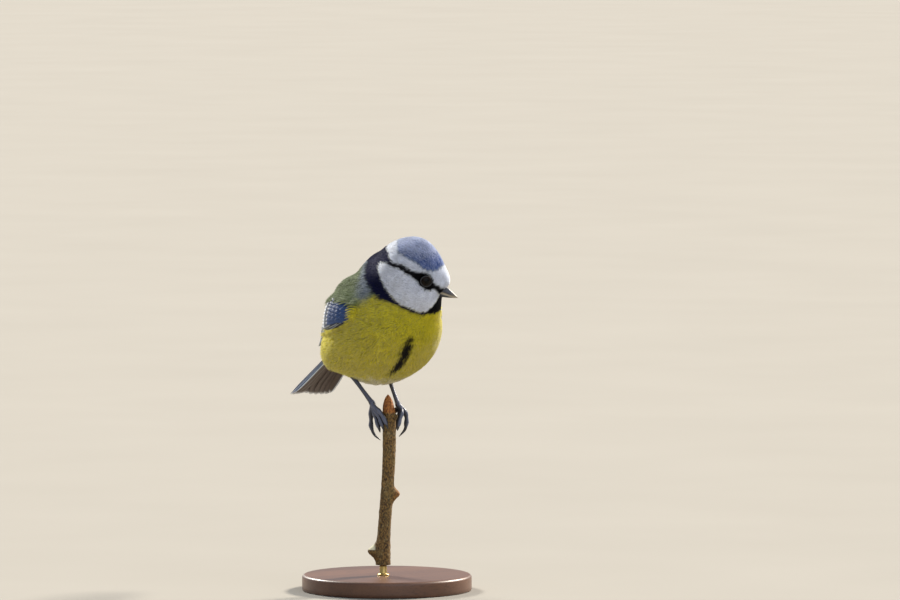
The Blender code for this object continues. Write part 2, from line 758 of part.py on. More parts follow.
def stand():
    x, y = twig_axis(TWIG_FOOT)
    edge = BASE_EDGE
    turned("stand_base", [
        (BASE_RADIUS - 0.6, 0.0), (BASE_RADIUS, 0.6), (BASE_RADIUS, BASE_HEIGHT - edge),
        (BASE_RADIUS - edge * 0.3, BASE_HEIGHT - edge * 0.3), (BASE_RADIUS - edge, BASE_HEIGHT),
    ])
    bottom, top = BASE_HEIGHT + GAP, TWIG_FOOT - GAP
    turned("stand_rod", [(ROD_RADIUS, bottom), (ROD_RADIUS, top)], sides=24, centre=(x, y))


# Materials

COLOURS = {
    "crown_plumage": ((0.30, 0.42, 0.62), 0.7, 0.0),
    "neck_plumage": ((0.03, 0.04, 0.10), 0.7, 0.0),
    "breast_plumage": ((0.62, 0.56, 0.08), 0.8, 0.0),
    "flight_feather": ((0.16, 0.24, 0.40), 0.55, 0.0),
    "tail_feather": ((0.16, 0.20, 0.30), 0.55, 0.0),
    "eye": ((0.012, 0.008, 0.006), 0.05, 0.0),
    "bill_horn": ((0.05, 0.05, 0.06), 0.35, 0.0),
    "leg_skin": ((0.07, 0.08, 0.12), 0.55, 0.0),
    "claw_horn": ((0.04, 0.04, 0.05), 0.35, 0.0),
    "bark": ((0.20, 0.14, 0.06), 0.85, 0.0),
    "stand_wood": ((0.10, 0.05, 0.025), 0.45, 0.0),
    "stand_metal": ((0.60, 0.48, 0.26), 0.3, 1.0),
}


def material_for(name):
    rules = (
        ("head", "crown_plumage"), ("neck", "neck_plumage"), ("torso", "breast_plumage"), ("wing", "flight_feather"),
        ("tail", "tail_feather"), ("eye", "eye"), ("bill", "bill_horn"), ("leg", "leg_skin"), ("foot", "leg_skin"),
        ("claw", "claw_horn"), ("twig", "bark"), ("stand_base", "stand_wood"), ("stand_rod", "stand_metal"),
    )
    return next(slot for start, slot in rules if name.startswith(start))


def paint():
    for obj in list(bpy.context.scene.objects):
        obj.data.shade_smooth()
        obj.data.set_sharp_from_angle(angle=math.radians(42))
        slot = material_for(obj.name)
        material = bpy.data.materials.get(slot) or bpy.data.materials.new(slot)
        material.use_nodes = True
        colour, roughness, metallic = COLOURS[slot]
        shader = material.node_tree.nodes["Principled BSDF"]
        shader.inputs["Base Color"].default_value = (*colour, 1.0)
        shader.inputs["Roughness"].default_value = roughness
        shader.inputs["Metallic"].default_value = metallic
        obj.data.materials.clear()
        obj.data.materials.append(material)


def main():
    for obj in list(bpy.data.objects):
        bpy.data.objects.remove(obj)
    cutter = body_mesh("cutter", TORSO_CENTRE, 72, 48, turn_x(-30), grow=GAP)
    torso = body_mesh("torso", TORSO_CENTRE, 40, 26, turn_x(-30))
    slice_off(torso, TORSO_CENTRE + NECK_AXIS * (NECK_CUTS[0] - GAP / 2), NECK_AXIS)
    middle = sum(NECK_CUTS) / 2
    neck = body_mesh("neck", TORSO_CENTRE + NECK_AXIS * middle, 36, 22, turn_x(-30))
    slice_off(neck, TORSO_CENTRE + NECK_AXIS * (NECK_CUTS[1] - GAP / 2), NECK_AXIS)
    slice_off(neck, TORSO_CENTRE + NECK_AXIS * (NECK_CUTS[0] + GAP / 2), -NECK_AXIS)
    head_and_eyes()
    bill(cutter)
    wing("wing_left", 1, cutter)
    wing("wing_right", -1, cutter)
    tail("tail", cutter)
    for side in ("right", "left"):
        start, top = foot_and_claws(side)
        leg(side, start, top, cutter)
    remove(cutter)
    twig("twig")
    stand()
    paint()


main()
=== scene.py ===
import math

import bmesh
import bpy
import numpy as np
from mathutils import Matrix, Vector


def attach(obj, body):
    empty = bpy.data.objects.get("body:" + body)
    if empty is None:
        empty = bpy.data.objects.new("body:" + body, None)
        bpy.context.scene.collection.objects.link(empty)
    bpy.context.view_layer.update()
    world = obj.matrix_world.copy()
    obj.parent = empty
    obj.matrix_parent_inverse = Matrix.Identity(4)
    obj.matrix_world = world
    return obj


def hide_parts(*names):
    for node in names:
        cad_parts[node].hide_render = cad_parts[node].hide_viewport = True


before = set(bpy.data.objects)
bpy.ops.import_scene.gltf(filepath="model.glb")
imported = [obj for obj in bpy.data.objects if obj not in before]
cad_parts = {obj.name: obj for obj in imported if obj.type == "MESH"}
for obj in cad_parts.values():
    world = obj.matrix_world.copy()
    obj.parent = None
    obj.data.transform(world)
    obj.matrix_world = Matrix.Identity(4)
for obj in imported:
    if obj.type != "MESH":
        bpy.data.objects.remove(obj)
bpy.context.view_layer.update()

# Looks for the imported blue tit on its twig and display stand.
# Lengths are millimetres until a mesh is made. The bird faces -Y and its left side is +X.

mm = 0.001
tau = 2 * math.pi
print("frame loaded")


# Small helpers: turning, smoothing, colours, nodes and meshes

def turnX(degrees):
    c, s = math.cos(math.radians(degrees)), math.sin(math.radians(degrees))
    return np.array([[1, 0, 0], [0, c, -s], [0, s, c]])


def turnY(degrees):
    c, s = math.cos(math.radians(degrees)), math.sin(math.radians(degrees))
    return np.array([[c, 0, s], [0, 1, 0], [-s, 0, c]])


def turnZ(degrees):
    c, s = math.cos(math.radians(degrees)), math.sin(math.radians(degrees))
    return np.array([[c, -s, 0], [s, c, 0], [0, 0, 1]])


def unit(v):
    v = np.asarray(v, float)
    return v / np.maximum(np.linalg.norm(v, axis=-1, keepdims=True), 1e-12)


def ease(value, start, end):
    share = np.clip((np.asarray(value, float) - start) / (end - start), 0.0, 1.0)
    return share * share * (3 - 2 * share)


def mottle(points, size, seed, waves=28):
    # smooth noise of about -1 to 1, from seeded plane waves of roughly that size in millimetres
    draw = np.random.default_rng(seed)
    ways = unit(draw.normal(size=(waves, 3))) * (tau / size) * draw.uniform(0.6, 1.5, (waves, 1))
    return np.cos(points @ ways.T + draw.uniform(0, tau, waves)).sum(axis=1) / math.sqrt(waves * 0.75)


def linear(code):
    levels = [int(code[k:k + 2], 16) / 255 for k in (1, 3, 5)]
    return tuple(v / 12.92 if v <= 0.04045 else ((v + 0.055) / 1.055) ** 2.4 for v in levels) + (1.0,)


def addNode(tree, kind, inputs=None, **settings):
    node = tree.nodes.new(kind)
    for name, value in settings.items():
        setattr(node, name, value)
    for key, value in (inputs or {}).items():
        if isinstance(value, bpy.types.NodeSocket):
            tree.links.new(value, node.inputs[key])
        else:
            node.inputs[key].default_value = value
    return node


def newMaterial(name, **settings):
    material = bpy.data.materials.new(name)
    material.use_nodes = True
    shader = material.node_tree.nodes["Principled BSDF"]
    for key, value in settings.items():
        shader.inputs[key.replace("_", " ")].default_value = value
    return material, material.node_tree, shader


def mixColours(tree, share, first, second):
    return addNode(tree, "ShaderNodeMix", {0: share, 6: first, 7: second}, data_type="RGBA").outputs[2]


def readMark(tree, name):
    return addNode(tree, "ShaderNodeAttribute", attribute_name=name).outputs["Fac"]


def objectPlace(tree):
    return addNode(tree, "ShaderNodeTexCoord").outputs["Object"]


def noise(tree, place, scale, detail=2.0):
    made = addNode(tree, "ShaderNodeTexNoise", {"Vector": place, "Scale": scale, "Detail": detail})
    return made.outputs["Fac"]


def reckon(tree, operation, a, b):
    return addNode(tree, "ShaderNodeMath", {0: a, 1: b}, operation=operation).outputs[0]


def spread(tree, value, low=0.0, high=1.0, first=0.0, last=1.0, **settings):
    # what runs from low to high is made to run from first to last
    ends = {"Value": value, "From Min": low, "From Max": high, "To Min": first, "To Max": last}
    return addNode(tree, "ShaderNodeMapRange", ends, **settings).outputs[0]


def roughen(tree, shader, height, strength, depth=0.0001):
    bump = addNode(tree, "ShaderNodeBump", {"Height": height, "Strength": strength, "Distance": depth})
    tree.links.new(bump.outputs[0], shader.inputs["Normal"])


def addObject(name, data):
    made = bpy.data.objects.new(name, data)
    bpy.context.scene.collection.objects.link(made)
    return made


def ringFaces(rings, sides, first=0):
    # quads from each ring of points to the next
    faces = []
    for j in range(rings - 1):
        for k in range(sides):
            a, b = first + j * sides + k, first + j * sides + (k + 1) % sides
            faces.append((a, b, b + sides, a + sides))
    return faces


def slabFaces(rows, cols):
    # a closed slab: the top's grid of points, the same grid below it, and the rim that joins them
    wide = cols + 1
    count = (rows + 1) * wide
    faces = []
    for i in range(rows):
        for j in range(cols):
            a = i * wide + j
            faces.append((a, a + 1, a + wide + 1, a + wide))
            faces.append((a + count, a + wide + count, a + wide + 1 + count, a + 1 + count))
    rim = list(range(wide)) + [i * wide + cols for i in range(1, rows + 1)]
    rim += [rows * wide + j for j in range(cols - 1, -1, -1)] + [i * wide for i in range(rows - 1, 0, -1)]
    for k, a in enumerate(rim):
        b = rim[(k + 1) % len(rim)]
        faces.append((b, a, a + count, b + count))
    return faces


def meshObject(name, points, faces, marks=None, smooth=True):
    mesh = bpy.data.meshes.new(name)
    mesh.from_pydata((np.asarray(points) * mm).tolist(), [], [list(map(int, f)) for f in faces])
    mesh.update()
    for mark, values in (marks or {}).items():
        layer = mesh.attributes.new(mark, "FLOAT", "POINT")
        layer.data.foreach_set("value", np.asarray(values, np.float32))
    if smooth:
        mesh.shade_smooth()
    return addObject(name, mesh)


def faceOutward(piece):
    bm = bmesh.new()
    bm.from_mesh(piece.data)
    bmesh.ops.recalc_face_normals(bm, faces=bm.faces)
    bm.to_mesh(piece.data)
    bm.free()


def settle(piece):
    # replaces the piece's mesh by what its modifiers make
    graph = bpy.context.evaluated_depsgraph_get()
    graph.update()
    made = bpy.data.meshes.new_from_object(
        piece.evaluated_get(graph), preserve_all_data_layers=True, depsgraph=graph
    )
    piece.modifiers.clear()
    piece.data = made


def runTree(piece, tree, values):
    step = piece.modifiers.new(tree.name, "NODES")
    step.node_group = tree
    for item in tree.interface.items_tree:
        if item.in_out == "INPUT" and item.name in values:
            step[item.identifier] = values[item.name]
    settle(piece)


def handOver(piece, material, slot, *replaced):
    # hands a finished piece to the frame
    if material:
        piece.data.materials.clear()
        piece.data.materials.append(material)
    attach(piece, "root")
    if replaced:
        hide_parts(*replaced)


def smoothCurve(knots, count):
    knots = np.asarray(knots, float)
    ends = np.vstack([2 * knots[0] - knots[1], knots, 2 * knots[-1] - knots[-2]])
    fine = []
    for k in range(1, len(ends) - 2):
        p0, p1, p2, p3 = ends[k - 1 : k + 3]
        for t in np.linspace(0, 1, 20, endpoint=False):
            curve = 2 * p1 + (p2 - p0) * t + (2 * p0 - 5 * p1 + 4 * p2 - p3) * t ** 2
            fine.append((curve + (3 * p1 - p0 - 3 * p2 + p3) * t ** 3) / 2)
    fine = np.array(fine + [ends[-2]])
    run = np.concatenate([[0], np.cumsum(np.linalg.norm(np.diff(fine, axis=0), axis=1))])
    even = np.linspace(0, run[-1], count)
    return np.stack([np.interp(even, run, fine[:, k]) for k in range(3)], axis=1)


# Camera at the photo's height and turn, and a plain light studio

view = dict(azimuth=-32.0, elevation=4.0, distance=3.0, lens=318.0, right=23.8, up=109.4)


def viewAxes():
    a, e = math.radians(view["azimuth"]), math.radians(view["elevation"])
    right = np.array([math.cos(a), math.sin(a), 0.0])
    up = np.array([-math.sin(a) * math.sin(e), math.cos(a) * math.sin(e), math.cos(e)])
    back = np.array([math.sin(a) * math.cos(e), -math.cos(a) * math.cos(e), math.sin(e)])
    return right, up, back


def placeCamera():
    right, up, back = viewAxes()
    aim = (right * view["right"] + up * view["up"]) * mm
    data = bpy.data.cameras.new("camera")
    data.lens = view["lens"]
    data.sensor_width = 36.0
    data.clip_end = 60.0
    camera = addObject("camera", data)
    camera.location = Vector(aim + back * view["distance"])
    camera.rotation_euler = Vector(-back).to_track_quat("-Z", "Y").to_euler()
    bpy.context.scene.camera = camera


studio = dict(
    floorRadius=9.0,
    sky="#cdd6e6",
    skyStrength=0.55,
    lamps=(  # name, to the right, up, towards the camera, strength, spread in degrees, colour
        ("sunSide", 0.66, 0.62, -0.50, 6.4, 12.0, "#fff6e8"),
        ("frontFill", 0.38, 0.60, 0.90, 0.80, 70.0, "#eef3ff"),
        ("backRim", -0.50, 0.66, -0.70, 3.8, 14.0, "#fffaf0"),
    ),
)


def lightStudio():
    right, up, back = viewAxes()
    for name, r, u, b, strength, spread, colour in studio["lamps"]:
        data = bpy.data.lights.new(name, "SUN")
        data.energy = strength
        data.angle = math.radians(spread)
        data.color = linear(colour)[:3]
        lamp = addObject(name, data)
        way = unit(right * r + up * u + back * b)
        lamp.location = Vector(way)
        lamp.rotation_euler = Vector(-way).to_track_quat("-Z", "Y").to_euler()
    world = bpy.data.worlds.new("studioSky")
    bpy.context.scene.world = world
    world.use_nodes = True
    sky = world.node_tree.nodes["Background"]
    sky.inputs["Color"].default_value = linear(studio["sky"])
    sky.inputs["Strength"].default_value = studio["skyStrength"]


def layFloor():
    rings = (0.0, 40.0, 200.0, 1000.0, 3000.0, studio["floorRadius"] / mm)
    points, faces = [(0, 0, 0)], []
    for ring in rings[1:]:
        points += [(ring * math.cos(tau * k / 96), ring * math.sin(tau * k / 96), 0) for k in range(96)]
    for k in range(96):
        faces.append((0, 1 + k, 1 + (k + 1) % 96))
        for j in range(len(rings) - 2):
            a, b = 1 + j * 96 + k, 1 + j * 96 + (k + 1) % 96
            faces.append((a, a + 96, b + 96, b))
    floor = meshObject("studioFloor", points, faces, smooth=False)
    # paper roll: flat, faintly cloudy
    material, tree, shader = newMaterial("matteStudioPaper", Roughness=0.9)
    shader.inputs["Specular IOR Level"].default_value = 0.1
    place = objectPlace(tree)
    cloud = noise(tree, place, 9.0)
    colour = mixColours(tree, cloud, linear("#959189"), linear("#9b978f"))
    tree.links.new(colour, shader.inputs["Base Color"])
    floor.data.materials.append(material)


placeCamera()
lightStudio()
layFloor()
bpy.context.scene.view_settings.view_transform = "Standard"
print("camera, light and floor set")


# The bird's body as one soft field: negative inside the plumage, zero where the coat ends

body = dict(
    headCentre=(2.8, -11.3, 119.3),
    headYaw=43.0,
    headPitch=18.0,
    headRoll=-9.0,
    blend=1.3,
    cheek=(6.2, -3.6, -4.6),
)
headCentre = np.array(body["headCentre"])
headTurn = turnZ(body["headYaw"]) @ turnX(body["headPitch"]) @ turnY(body["headRoll"])


def fromHead(local):
    return headCentre + np.asarray(local, float) @ headTurn.T


def bodyMasses():
    cheek = np.array(body["cheek"])
    level = np.eye(3)
    return [
        (np.array([0.0, 0.2, 99.0]), (21.0, 21.4, 19.5), turnX(-20)),
        (np.array([0.0, 9.5, 96.0]), (17.2, 20.2, 16.4), turnX(-30)),
        (np.array([11.2, 7.5, 92.0]), (9.2, 14.5, 8.8), turnX(-24)),
        (np.array([-11.2, 7.5, 92.0]), (9.2, 14.5, 8.8), turnX(-24)),
        (np.array([0.0, 6.0, 87.2]), (11.0, 12.5, 9.2), level),
        (np.array([0.0, 1.0, 107.5]), (17.4, 15.6, 13.2), level),
        (np.array([0.0, -0.5, 114.0]), (12.6, 12.0, 12.4), level),
        (np.array([0.0, 20.0, 94.5]), (10.2, 13.0, 8.6), turnX(-35)),
        (np.array([0.0, 28.5, 92.4]), (6.6, 11.5, 4.6), turnX(-35)),
        (headCentre, (11.8, 13.9, 14.4), headTurn),
        (fromHead(cheek), (6.6, 8.4, 7.0), headTurn),
        (fromHead(cheek * (-1, 1, 1)), (6.6, 8.4, 7.0), headTurn),
        (fromHead((0, -6.4, -9.4)), (8.0, 8.4, 7.0), headTurn),
        (fromHead((0, -9.4, 2.2)), (5.6, 6.2, 4.7), headTurn),
        (fromHead((0, -0.5, 5.0)), (7.8, 7.8, 9.8), headTurn),
        (np.array([0.0, -1.2, 117.0]), (9.8, 9.8, 11.3), level),
        (np.array([8.2, 6.7, 108.4]), (9.7, 9.8, 10.3), level),
        (np.array([-8.2, 6.7, 108.4]), (9.7, 9.8, 10.3), level),
    ]


masses = bodyMasses()


def bodyField(points):
    total = 0.0
    for centre, radii, turn in masses:
        local = (points - centre) @ turn
        near = np.linalg.norm(local / np.array(radii), axis=-1)
        slope = np.linalg.norm(local / np.array(radii) ** 2, axis=-1)
        total = total + np.exp(-near * (near - 1) / np.maximum(slope, 1e-9) / body["blend"])
    return -body["blend"] * np.log(total + 1e-300)


def bodyNormals(points):
    axes = np.eye(3) * 0.05
    return unit(np.stack([bodyField(points + a) - bodyField(points - a) for a in axes], axis=-1))


def ontoBody(points, level, steps=7):
    for _ in range(steps):
        points = points - bodyNormals(points) * (bodyField(points) - level)[:, None]
    return points


eye = dict(aim=(9.3, -9.6, 3.2), radius=2.5, proud=0.95)


def eyePlace(side):
    aim = unit((np.array(eye["aim"]) * (side, 1, 1)) @ headTurn.T)
    low, high = 0.0, 60.0
    for _ in range(40):
        middle = (low + high) / 2
        inside = bodyField((headCentre + aim * middle)[None, :])[0] < 0
        low, high = (middle, high) if inside else (low, middle)
    surface = headCentre + aim * low
    outward = unit(bodyNormals(surface[None, :])[0] + 0.35 * aim)
    return surface + outward * (eye["proud"] - eye["radius"]), outward


# Markings. On the head they are outlines of height against turn, both in degrees seen from the head's centre:
# 0 is the bill and 180 the nape. On the body they follow the wing's line.

markings = dict(
    stripeTop=((0, 1), (12, 3), (20, 7), (27, 10), (35, 17), (45, 24), (56, 26), (69, 26.5), (82, 31),
               (101, 31.5), (116, 28), (127, 33), (134, 38), (169, 41), (180, 42)),
    stripeFoot=((0, -8), (15, -6), (23, 0), (37, 5), (49, 9), (62, 13), (72, 17), (79, 19.5), (97, 22.5),
                (113, 22), (128, 22), (142, 14), (147, 9)),
    cheekFoot=((8, -7), (11, -15), (15, -20), (21, -25), (29, -31), (40, -34), (49, -33), (61, -31), (75, -30),
               (84, -28), (96, -25), (107, -21), (121, -12), (132, -2), (145, 11)),
    collarFoot=((0, -30), (18, -33), (33, -36), (48, -37), (63, -35), (82, -34), (96, -34), (111, -33),
                (127, -29), (141, -24), (156, -16), (164, -9), (178, 2)),
    capFoot=((0, 33), (10, 33), (21, 30), (39, 30), (52, 34), (68, 42), (90, 46), (117, 49), (132, 55),
             (144, 60), (180, 62)),
    mantleFoot=((-16, 113.5), (-10, 111.5), (-4, 110.0), (4, 106.5), (12, 103.0), (20, 99.5), (30, 94.5),
                (44, 88.0)),
    bellyStreak=((-1.2, -21.0, 98.5), (-1.9, -20.6, 96.0), (-3.1, -17.8, 90.1), (-4.1, -10.2, 82.8)),
)


def outline(name, value):
    return np.interp(value, *zip(*markings[name]))


def headAngles(points):
    left, back, up = ((points - headCentre) @ headTurn).T
    far = np.sqrt(left ** 2 + back ** 2 + up ** 2)
    return np.degrees(np.arctan2(np.abs(left), -back)), np.degrees(np.arcsin(up / far)), far


def strokeDistance(points, knots):
    near = np.full(len(points), 1e9)
    knots = np.array(knots)
    for a, b in zip(knots[:-1], knots[1:]):
        share = np.clip(((points - a) @ (b - a)) / np.dot(b - a, b - a), 0, 1)
        near = np.minimum(near, np.linalg.norm(points - a - share[:, None] * (b - a), axis=1))
    return near


def birdMarks(points):
    turn, height, far = headAngles(points)
    height = height + 0.6 * mottle(points, 1.5, 5)
    turn = turn + 0.7 * mottle(points, 1.6, 6)
    onHead = ease(far, 24.0, 18.5)
    soft = 2.2

    def above(name):
        return ease(height - outline(name, turn), -soft / 2, soft / 2)

    cheek = above("cheekFoot") * (1 - above("stripeFoot")) * onHead
    cheek = cheek * ease(turn, 8.5, 10.5) * (1 - ease(turn, 145, 148))
    dark = above("collarFoot") * (1 - above("stripeTop")) * (1 - cheek) * onHead
    cap = above("capFoot") * onHead
    white = np.maximum(cheek, above("stripeTop") * (1 - above("capFoot")) * onHead)
    ink = dark * np.maximum(above("stripeFoot") * ease(turn, 128, 112), ease(turn, 40, 26))
    rim = (1 - dark) * (1 - white) * (1 - cap) * ease(height - outline("collarFoot", turn), -13, -2)
    rim = rim * ease(turn, 120, 138) * ease(far, 26, 19)
    y, z = points[:, 1], points[:, 2]
    ragged = 1.1 * mottle(points, 4.0, 7)
    olive = ease(z + ragged - outline("mantleFoot", y), -1.6, 1.6)
    s, t, out = wingPlaceOf(points)
    olive = np.maximum(olive, ease(t, 1.2, 2.6) * ease(s, -4.0, 0.0) * ease(out, -9, -4))
    # pale: a painted highlight that makes the cap lighter towards the top of the crown
    pale = ease(height, 42, 66) * 0.85
    for side in (-1, 1):  # black lores run round the eye into the stripe
        centre, outward = eyePlace(side)
        along = unit(headTurn @ np.array([0.0, -1.0, -0.32]))
        along = unit(along - outward * (along @ outward))
        off = points - centre
        ahead, rise = off @ along, off @ np.cross(outward, along)
        ring = np.sqrt((ahead / np.where(ahead > 0, 4.6, 4.0)) ** 2 + (rise / 2.75) ** 2)
        lores = ease(ring + 0.06 * mottle(points, 0.9, 9), 1.06, 0.96) * ease(off @ outward, -5.0, -4.0)
        ink, dark = np.maximum(ink, lores), np.maximum(dark, lores)
        white = white * (1 - lores)
    belly = ease(z + ragged, 83.0, 79.6) * ease(y, -10, -3) * ease(np.abs(points[:, 0]), 12, 7)
    vent = ease(y + ragged, 15, 24) * (1 - olive)
    thick = np.interp(z, (83.0, 86.0, 91.5, 95.5, 98.5), (0.8, 1.2, 2.1, 1.7, 0.9))
    fromStreak = strokeDistance(points, markings["bellyStreak"]) + 0.4 * mottle(points, 1.5, 8)
    streak = ease(fromStreak, thick + 0.75, thick - 0.35)
    return dict(cap=cap, white=white, dark=dark, ink=ink, rim=rim, olive=olive, pale=pale,
                belly=np.maximum(belly, 0.85 * vent), streak=streak)


# Wing and tail charts: s runs along the feathers, t across them and h away from the body

wing = dict(
    spine=((16.2, -6.0, 105.6), (18.2, 2.5, 104.9), (17.4, 11.5, 103.4), (13.4, 21.5, 100.2), (8.8, 30.0, 96.4),
           (5.0, 37.5, 92.6)),
    bend=17.0,
    clearance=0.55,
)


def wingSpine():
    spine = smoothCurve(wing["spine"], 61)
    normals = bodyNormals(spine)
    for _ in range(6):
        normals[1:-1] = (normals[:-2] + normals[1:-1] * 2 + normals[2:]) / 4
    tangents = unit(np.gradient(spine, axis=0))
    normals = unit(normals - tangents * np.sum(normals * tangents, axis=1, keepdims=True))
    needed = np.zeros(len(spine))
    for _ in range(12):
        needed = np.maximum(needed + wing["clearance"] - bodyField(spine + normals * needed[:, None]), 0.0)
    for _ in range(4):
        needed[1:-1] = np.maximum(needed[1:-1], (needed[:-2] + needed[2:]) / 2)
    spine = spine + normals * needed[:, None]
    across = np.cross(tangents, normals)
    across = across if across[0][2] > 0 else -across
    run = np.concatenate([[0], np.cumsum(np.linalg.norm(np.diff(spine, axis=0), axis=1))])
    return dict(points=spine, normals=normals, across=across, run=run)


spineLine = wingSpine()


def wingChart(side):
    def place(s, t, h):
        s, t, h = np.broadcast_arrays(*(np.asarray(v, float) for v in (s, t, h)))
        point, normal, across = (
            np.stack([np.interp(s, spineLine["run"], spineLine[key][:, k]) for k in range(3)], axis=-1)
            for key in ("points", "normals", "across")
        )
        end = unit(spineLine["points"][-1] - spineLine["points"][-3])
        point = point + end * np.maximum(0.0, s - spineLine["run"][-1])[..., None]
        angle = t / wing["bend"]
        out = point + across * (wing["bend"] * np.sin(angle))[..., None]
        out = out + normal * (h - wing["bend"] * (1 - np.cos(angle)))[..., None]
        return out * (side, 1, 1)
    return place


def wingPlaceOf(points):
    # s, t and h of places near the body, on either side
    mirrored = np.abs(points * (1, 0, 0)) + points * (0, 1, 1)
    line = spineLine["points"]
    forward = unit(np.gradient(line, axis=0))
    s, t, h = (np.zeros(len(points)) for _ in range(3))
    for start in range(0, len(points), 4000):
        block = slice(start, start + 4000)
        gap = mirrored[block][:, None, :] - line[None, :, :]
        k = np.argmin((gap ** 2).sum(axis=2), axis=1)
        off = mirrored[block] - line[k]
        s[block] = spineLine["run"][k] + (off * forward[k]).sum(axis=1)
        t[block] = (off * spineLine["across"][k]).sum(axis=1)
        h[block] = (off * spineLine["normals"][k]).sum(axis=1)
    return s, t, h


tailShape = dict(
    tip=(-0.6, 56.4, 72.6), length=46.0, slope=35.0, roll=3.0, swing=2.0, halfTip=12.4, halfRoot=6.0, flat=0.46,
    bend=0.36,
)


def tailChart(s, t, h):
    s, t, h = np.broadcast_arrays(*(np.asarray(v, float) for v in (s, t, h)))
    half = tailShape["halfRoot"] + (tailShape["halfTip"] - tailShape["halfRoot"]) * s / tailShape["length"]
    flat, bend = tailShape["flat"] * half, tailShape["bend"] * half
    angle = np.maximum(0.0, np.abs(t) - flat) / bend
    lateral = np.minimum(np.abs(t), flat) + (bend + h) * np.sin(angle)
    rise = (bend + h) * np.cos(angle) - bend
    turn = turnZ(tailShape["swing"]) @ turnX(-tailShape["slope"]) @ turnY(tailShape["roll"])
    local = np.stack([np.copysign(lateral, t), s - tailShape["length"], rise], axis=-1)
    return np.array(tailShape["tip"]) + local @ turn.T


# Skin: the flesh under the feathers, one closed surface for head, neck and torso

skinForm = dict(voxel=0.62, faceDepth=0.45, headDepth=0.7, bodyDepth=1.15)


def coatDepth(points):
    far = np.linalg.norm(points - headCentre, axis=1)
    nearBill = np.linalg.norm(points - fromHead((0, -12.5, -0.5)), axis=1)
    depth = skinForm["headDepth"] + (skinForm["bodyDepth"] - skinForm["headDepth"]) * ease(far, 15, 23)
    return skinForm["faceDepth"] + (depth - skinForm["faceDepth"]) * ease(nearBill, 5, 16)


def joinedMasses(name):
    bm = bmesh.new()
    for centre, radii, turn in masses:
        made = bmesh.ops.create_icosphere(bm, subdivisions=4, radius=1.0)
        shape = Matrix((turn @ np.diag(radii) * mm).tolist()).to_4x4()
        shape.translation = Vector(np.array(centre) * mm)
        bmesh.ops.transform(bm, matrix=shape, verts=made["verts"])
    mesh = bpy.data.meshes.new(name)
    bm.to_mesh(mesh)
    bm.free()
    return addObject(name, mesh)


def voxelWrap(piece, size):
    step = piece.modifiers.new("wrap", "REMESH")
    step.mode = "VOXEL"
    step.voxel_size = size * mm
    settle(piece)


def pointsOf(mesh):
    flat = np.zeros(len(mesh.vertices) * 3, np.float32)
    mesh.vertices.foreach_get("co", flat)
    return flat.reshape(-1, 3).astype(float) / mm


def movePoints(mesh, points):
    mesh.vertices.foreach_set("co", (points * mm).astype(np.float32).ravel())
    mesh.update()


def makeSkin():
    skin = joinedMasses("skin")
    voxelWrap(skin, skinForm["voxel"])
    points = pointsOf(skin.data)
    points = ontoBody(points, 0.0, 5)
    points = ontoBody(points, -coatDepth(points), 6)
    for side in (-1, 1):  # a socket for each eyeball
        centre, outward = eyePlace(side)
        off = points - centre
        rise = off @ outward
        lateral = off - rise[:, None] * outward
        wide = np.linalg.norm(lateral, axis=1)
        room = eye["radius"] + 0.12
        inside = (wide < room) & (rise > -room)
        deep = -np.sqrt(np.maximum(room ** 2 - wide ** 2, 0.0))
        points[inside] = (centre + lateral + deep[:, None] * outward)[inside]
    movePoints(skin.data, points)
    skin.data.shade_smooth()
    return skin


def unwrap(piece, name):
    piece.data.uv_layers.new(name=name)
    bpy.context.view_layer.objects.active = piece
    piece.select_set(True)
    bpy.ops.object.mode_set(mode="EDIT")
    bpy.ops.mesh.select_all(action="SELECT")
    bpy.ops.uv.smart_project(angle_limit=math.radians(66), island_margin=0.002)
    bpy.ops.object.mode_set(mode="OBJECT")
    piece.select_set(False)


def storeMark(mesh, name, values, kind="FLOAT", domain="POINT"):
    layer = mesh.attributes.new(name, kind, domain)
    field = "vector" if kind == "FLOAT_VECTOR" else "value"
    layer.data.foreach_set(field, np.asarray(values, np.int32 if kind == "INT" else np.float32).ravel())


# How the feathers lie, how long they are and where they grow

coat = dict(
    lengths=((0, 0.9), (9, 1.8), (20, 2.8), (32, 4.6), (48, 6.2)),  # by distance from the bill's root
    swirl=11.0,  # degrees that the lie wanders by
    slope=(0.0, 0.86, -0.5),  # how feathers run on the trunk
)


def featherLie(points, normals):
    far = np.linalg.norm(points - headCentre, axis=1)
    fromBill = unit(points - fromHead((0, -15.5, -1.2)))
    away = unit(headTurn @ np.array([0.0, 1.0, 0.0]))
    onHead = ease(far, 27, 15)[:, None]
    s, t, out = wingPlaceOf(points)
    lift = ease(t, -15, -7) * ease(t, -1, -6) * ease(s, 30, 18) * ease(out, -9, -3)
    trunk = np.array(coat["slope"]) + (lift * 0.45)[:, None] * np.array([0, 0, 1.0])
    way = onHead * unit(fromBill + 0.25 * away) + (1 - onHead) * unit(trunk)
    way = unit(way - normals * (way * normals).sum(axis=1, keepdims=True))
    angle = np.radians(coat["swirl"]) * (0.7 * mottle(points, 5.0, 21) + 0.5 * mottle(points, 1.7, 22))
    return way * np.cos(angle)[:, None] + np.cross(normals, way) * np.sin(angle)[:, None]


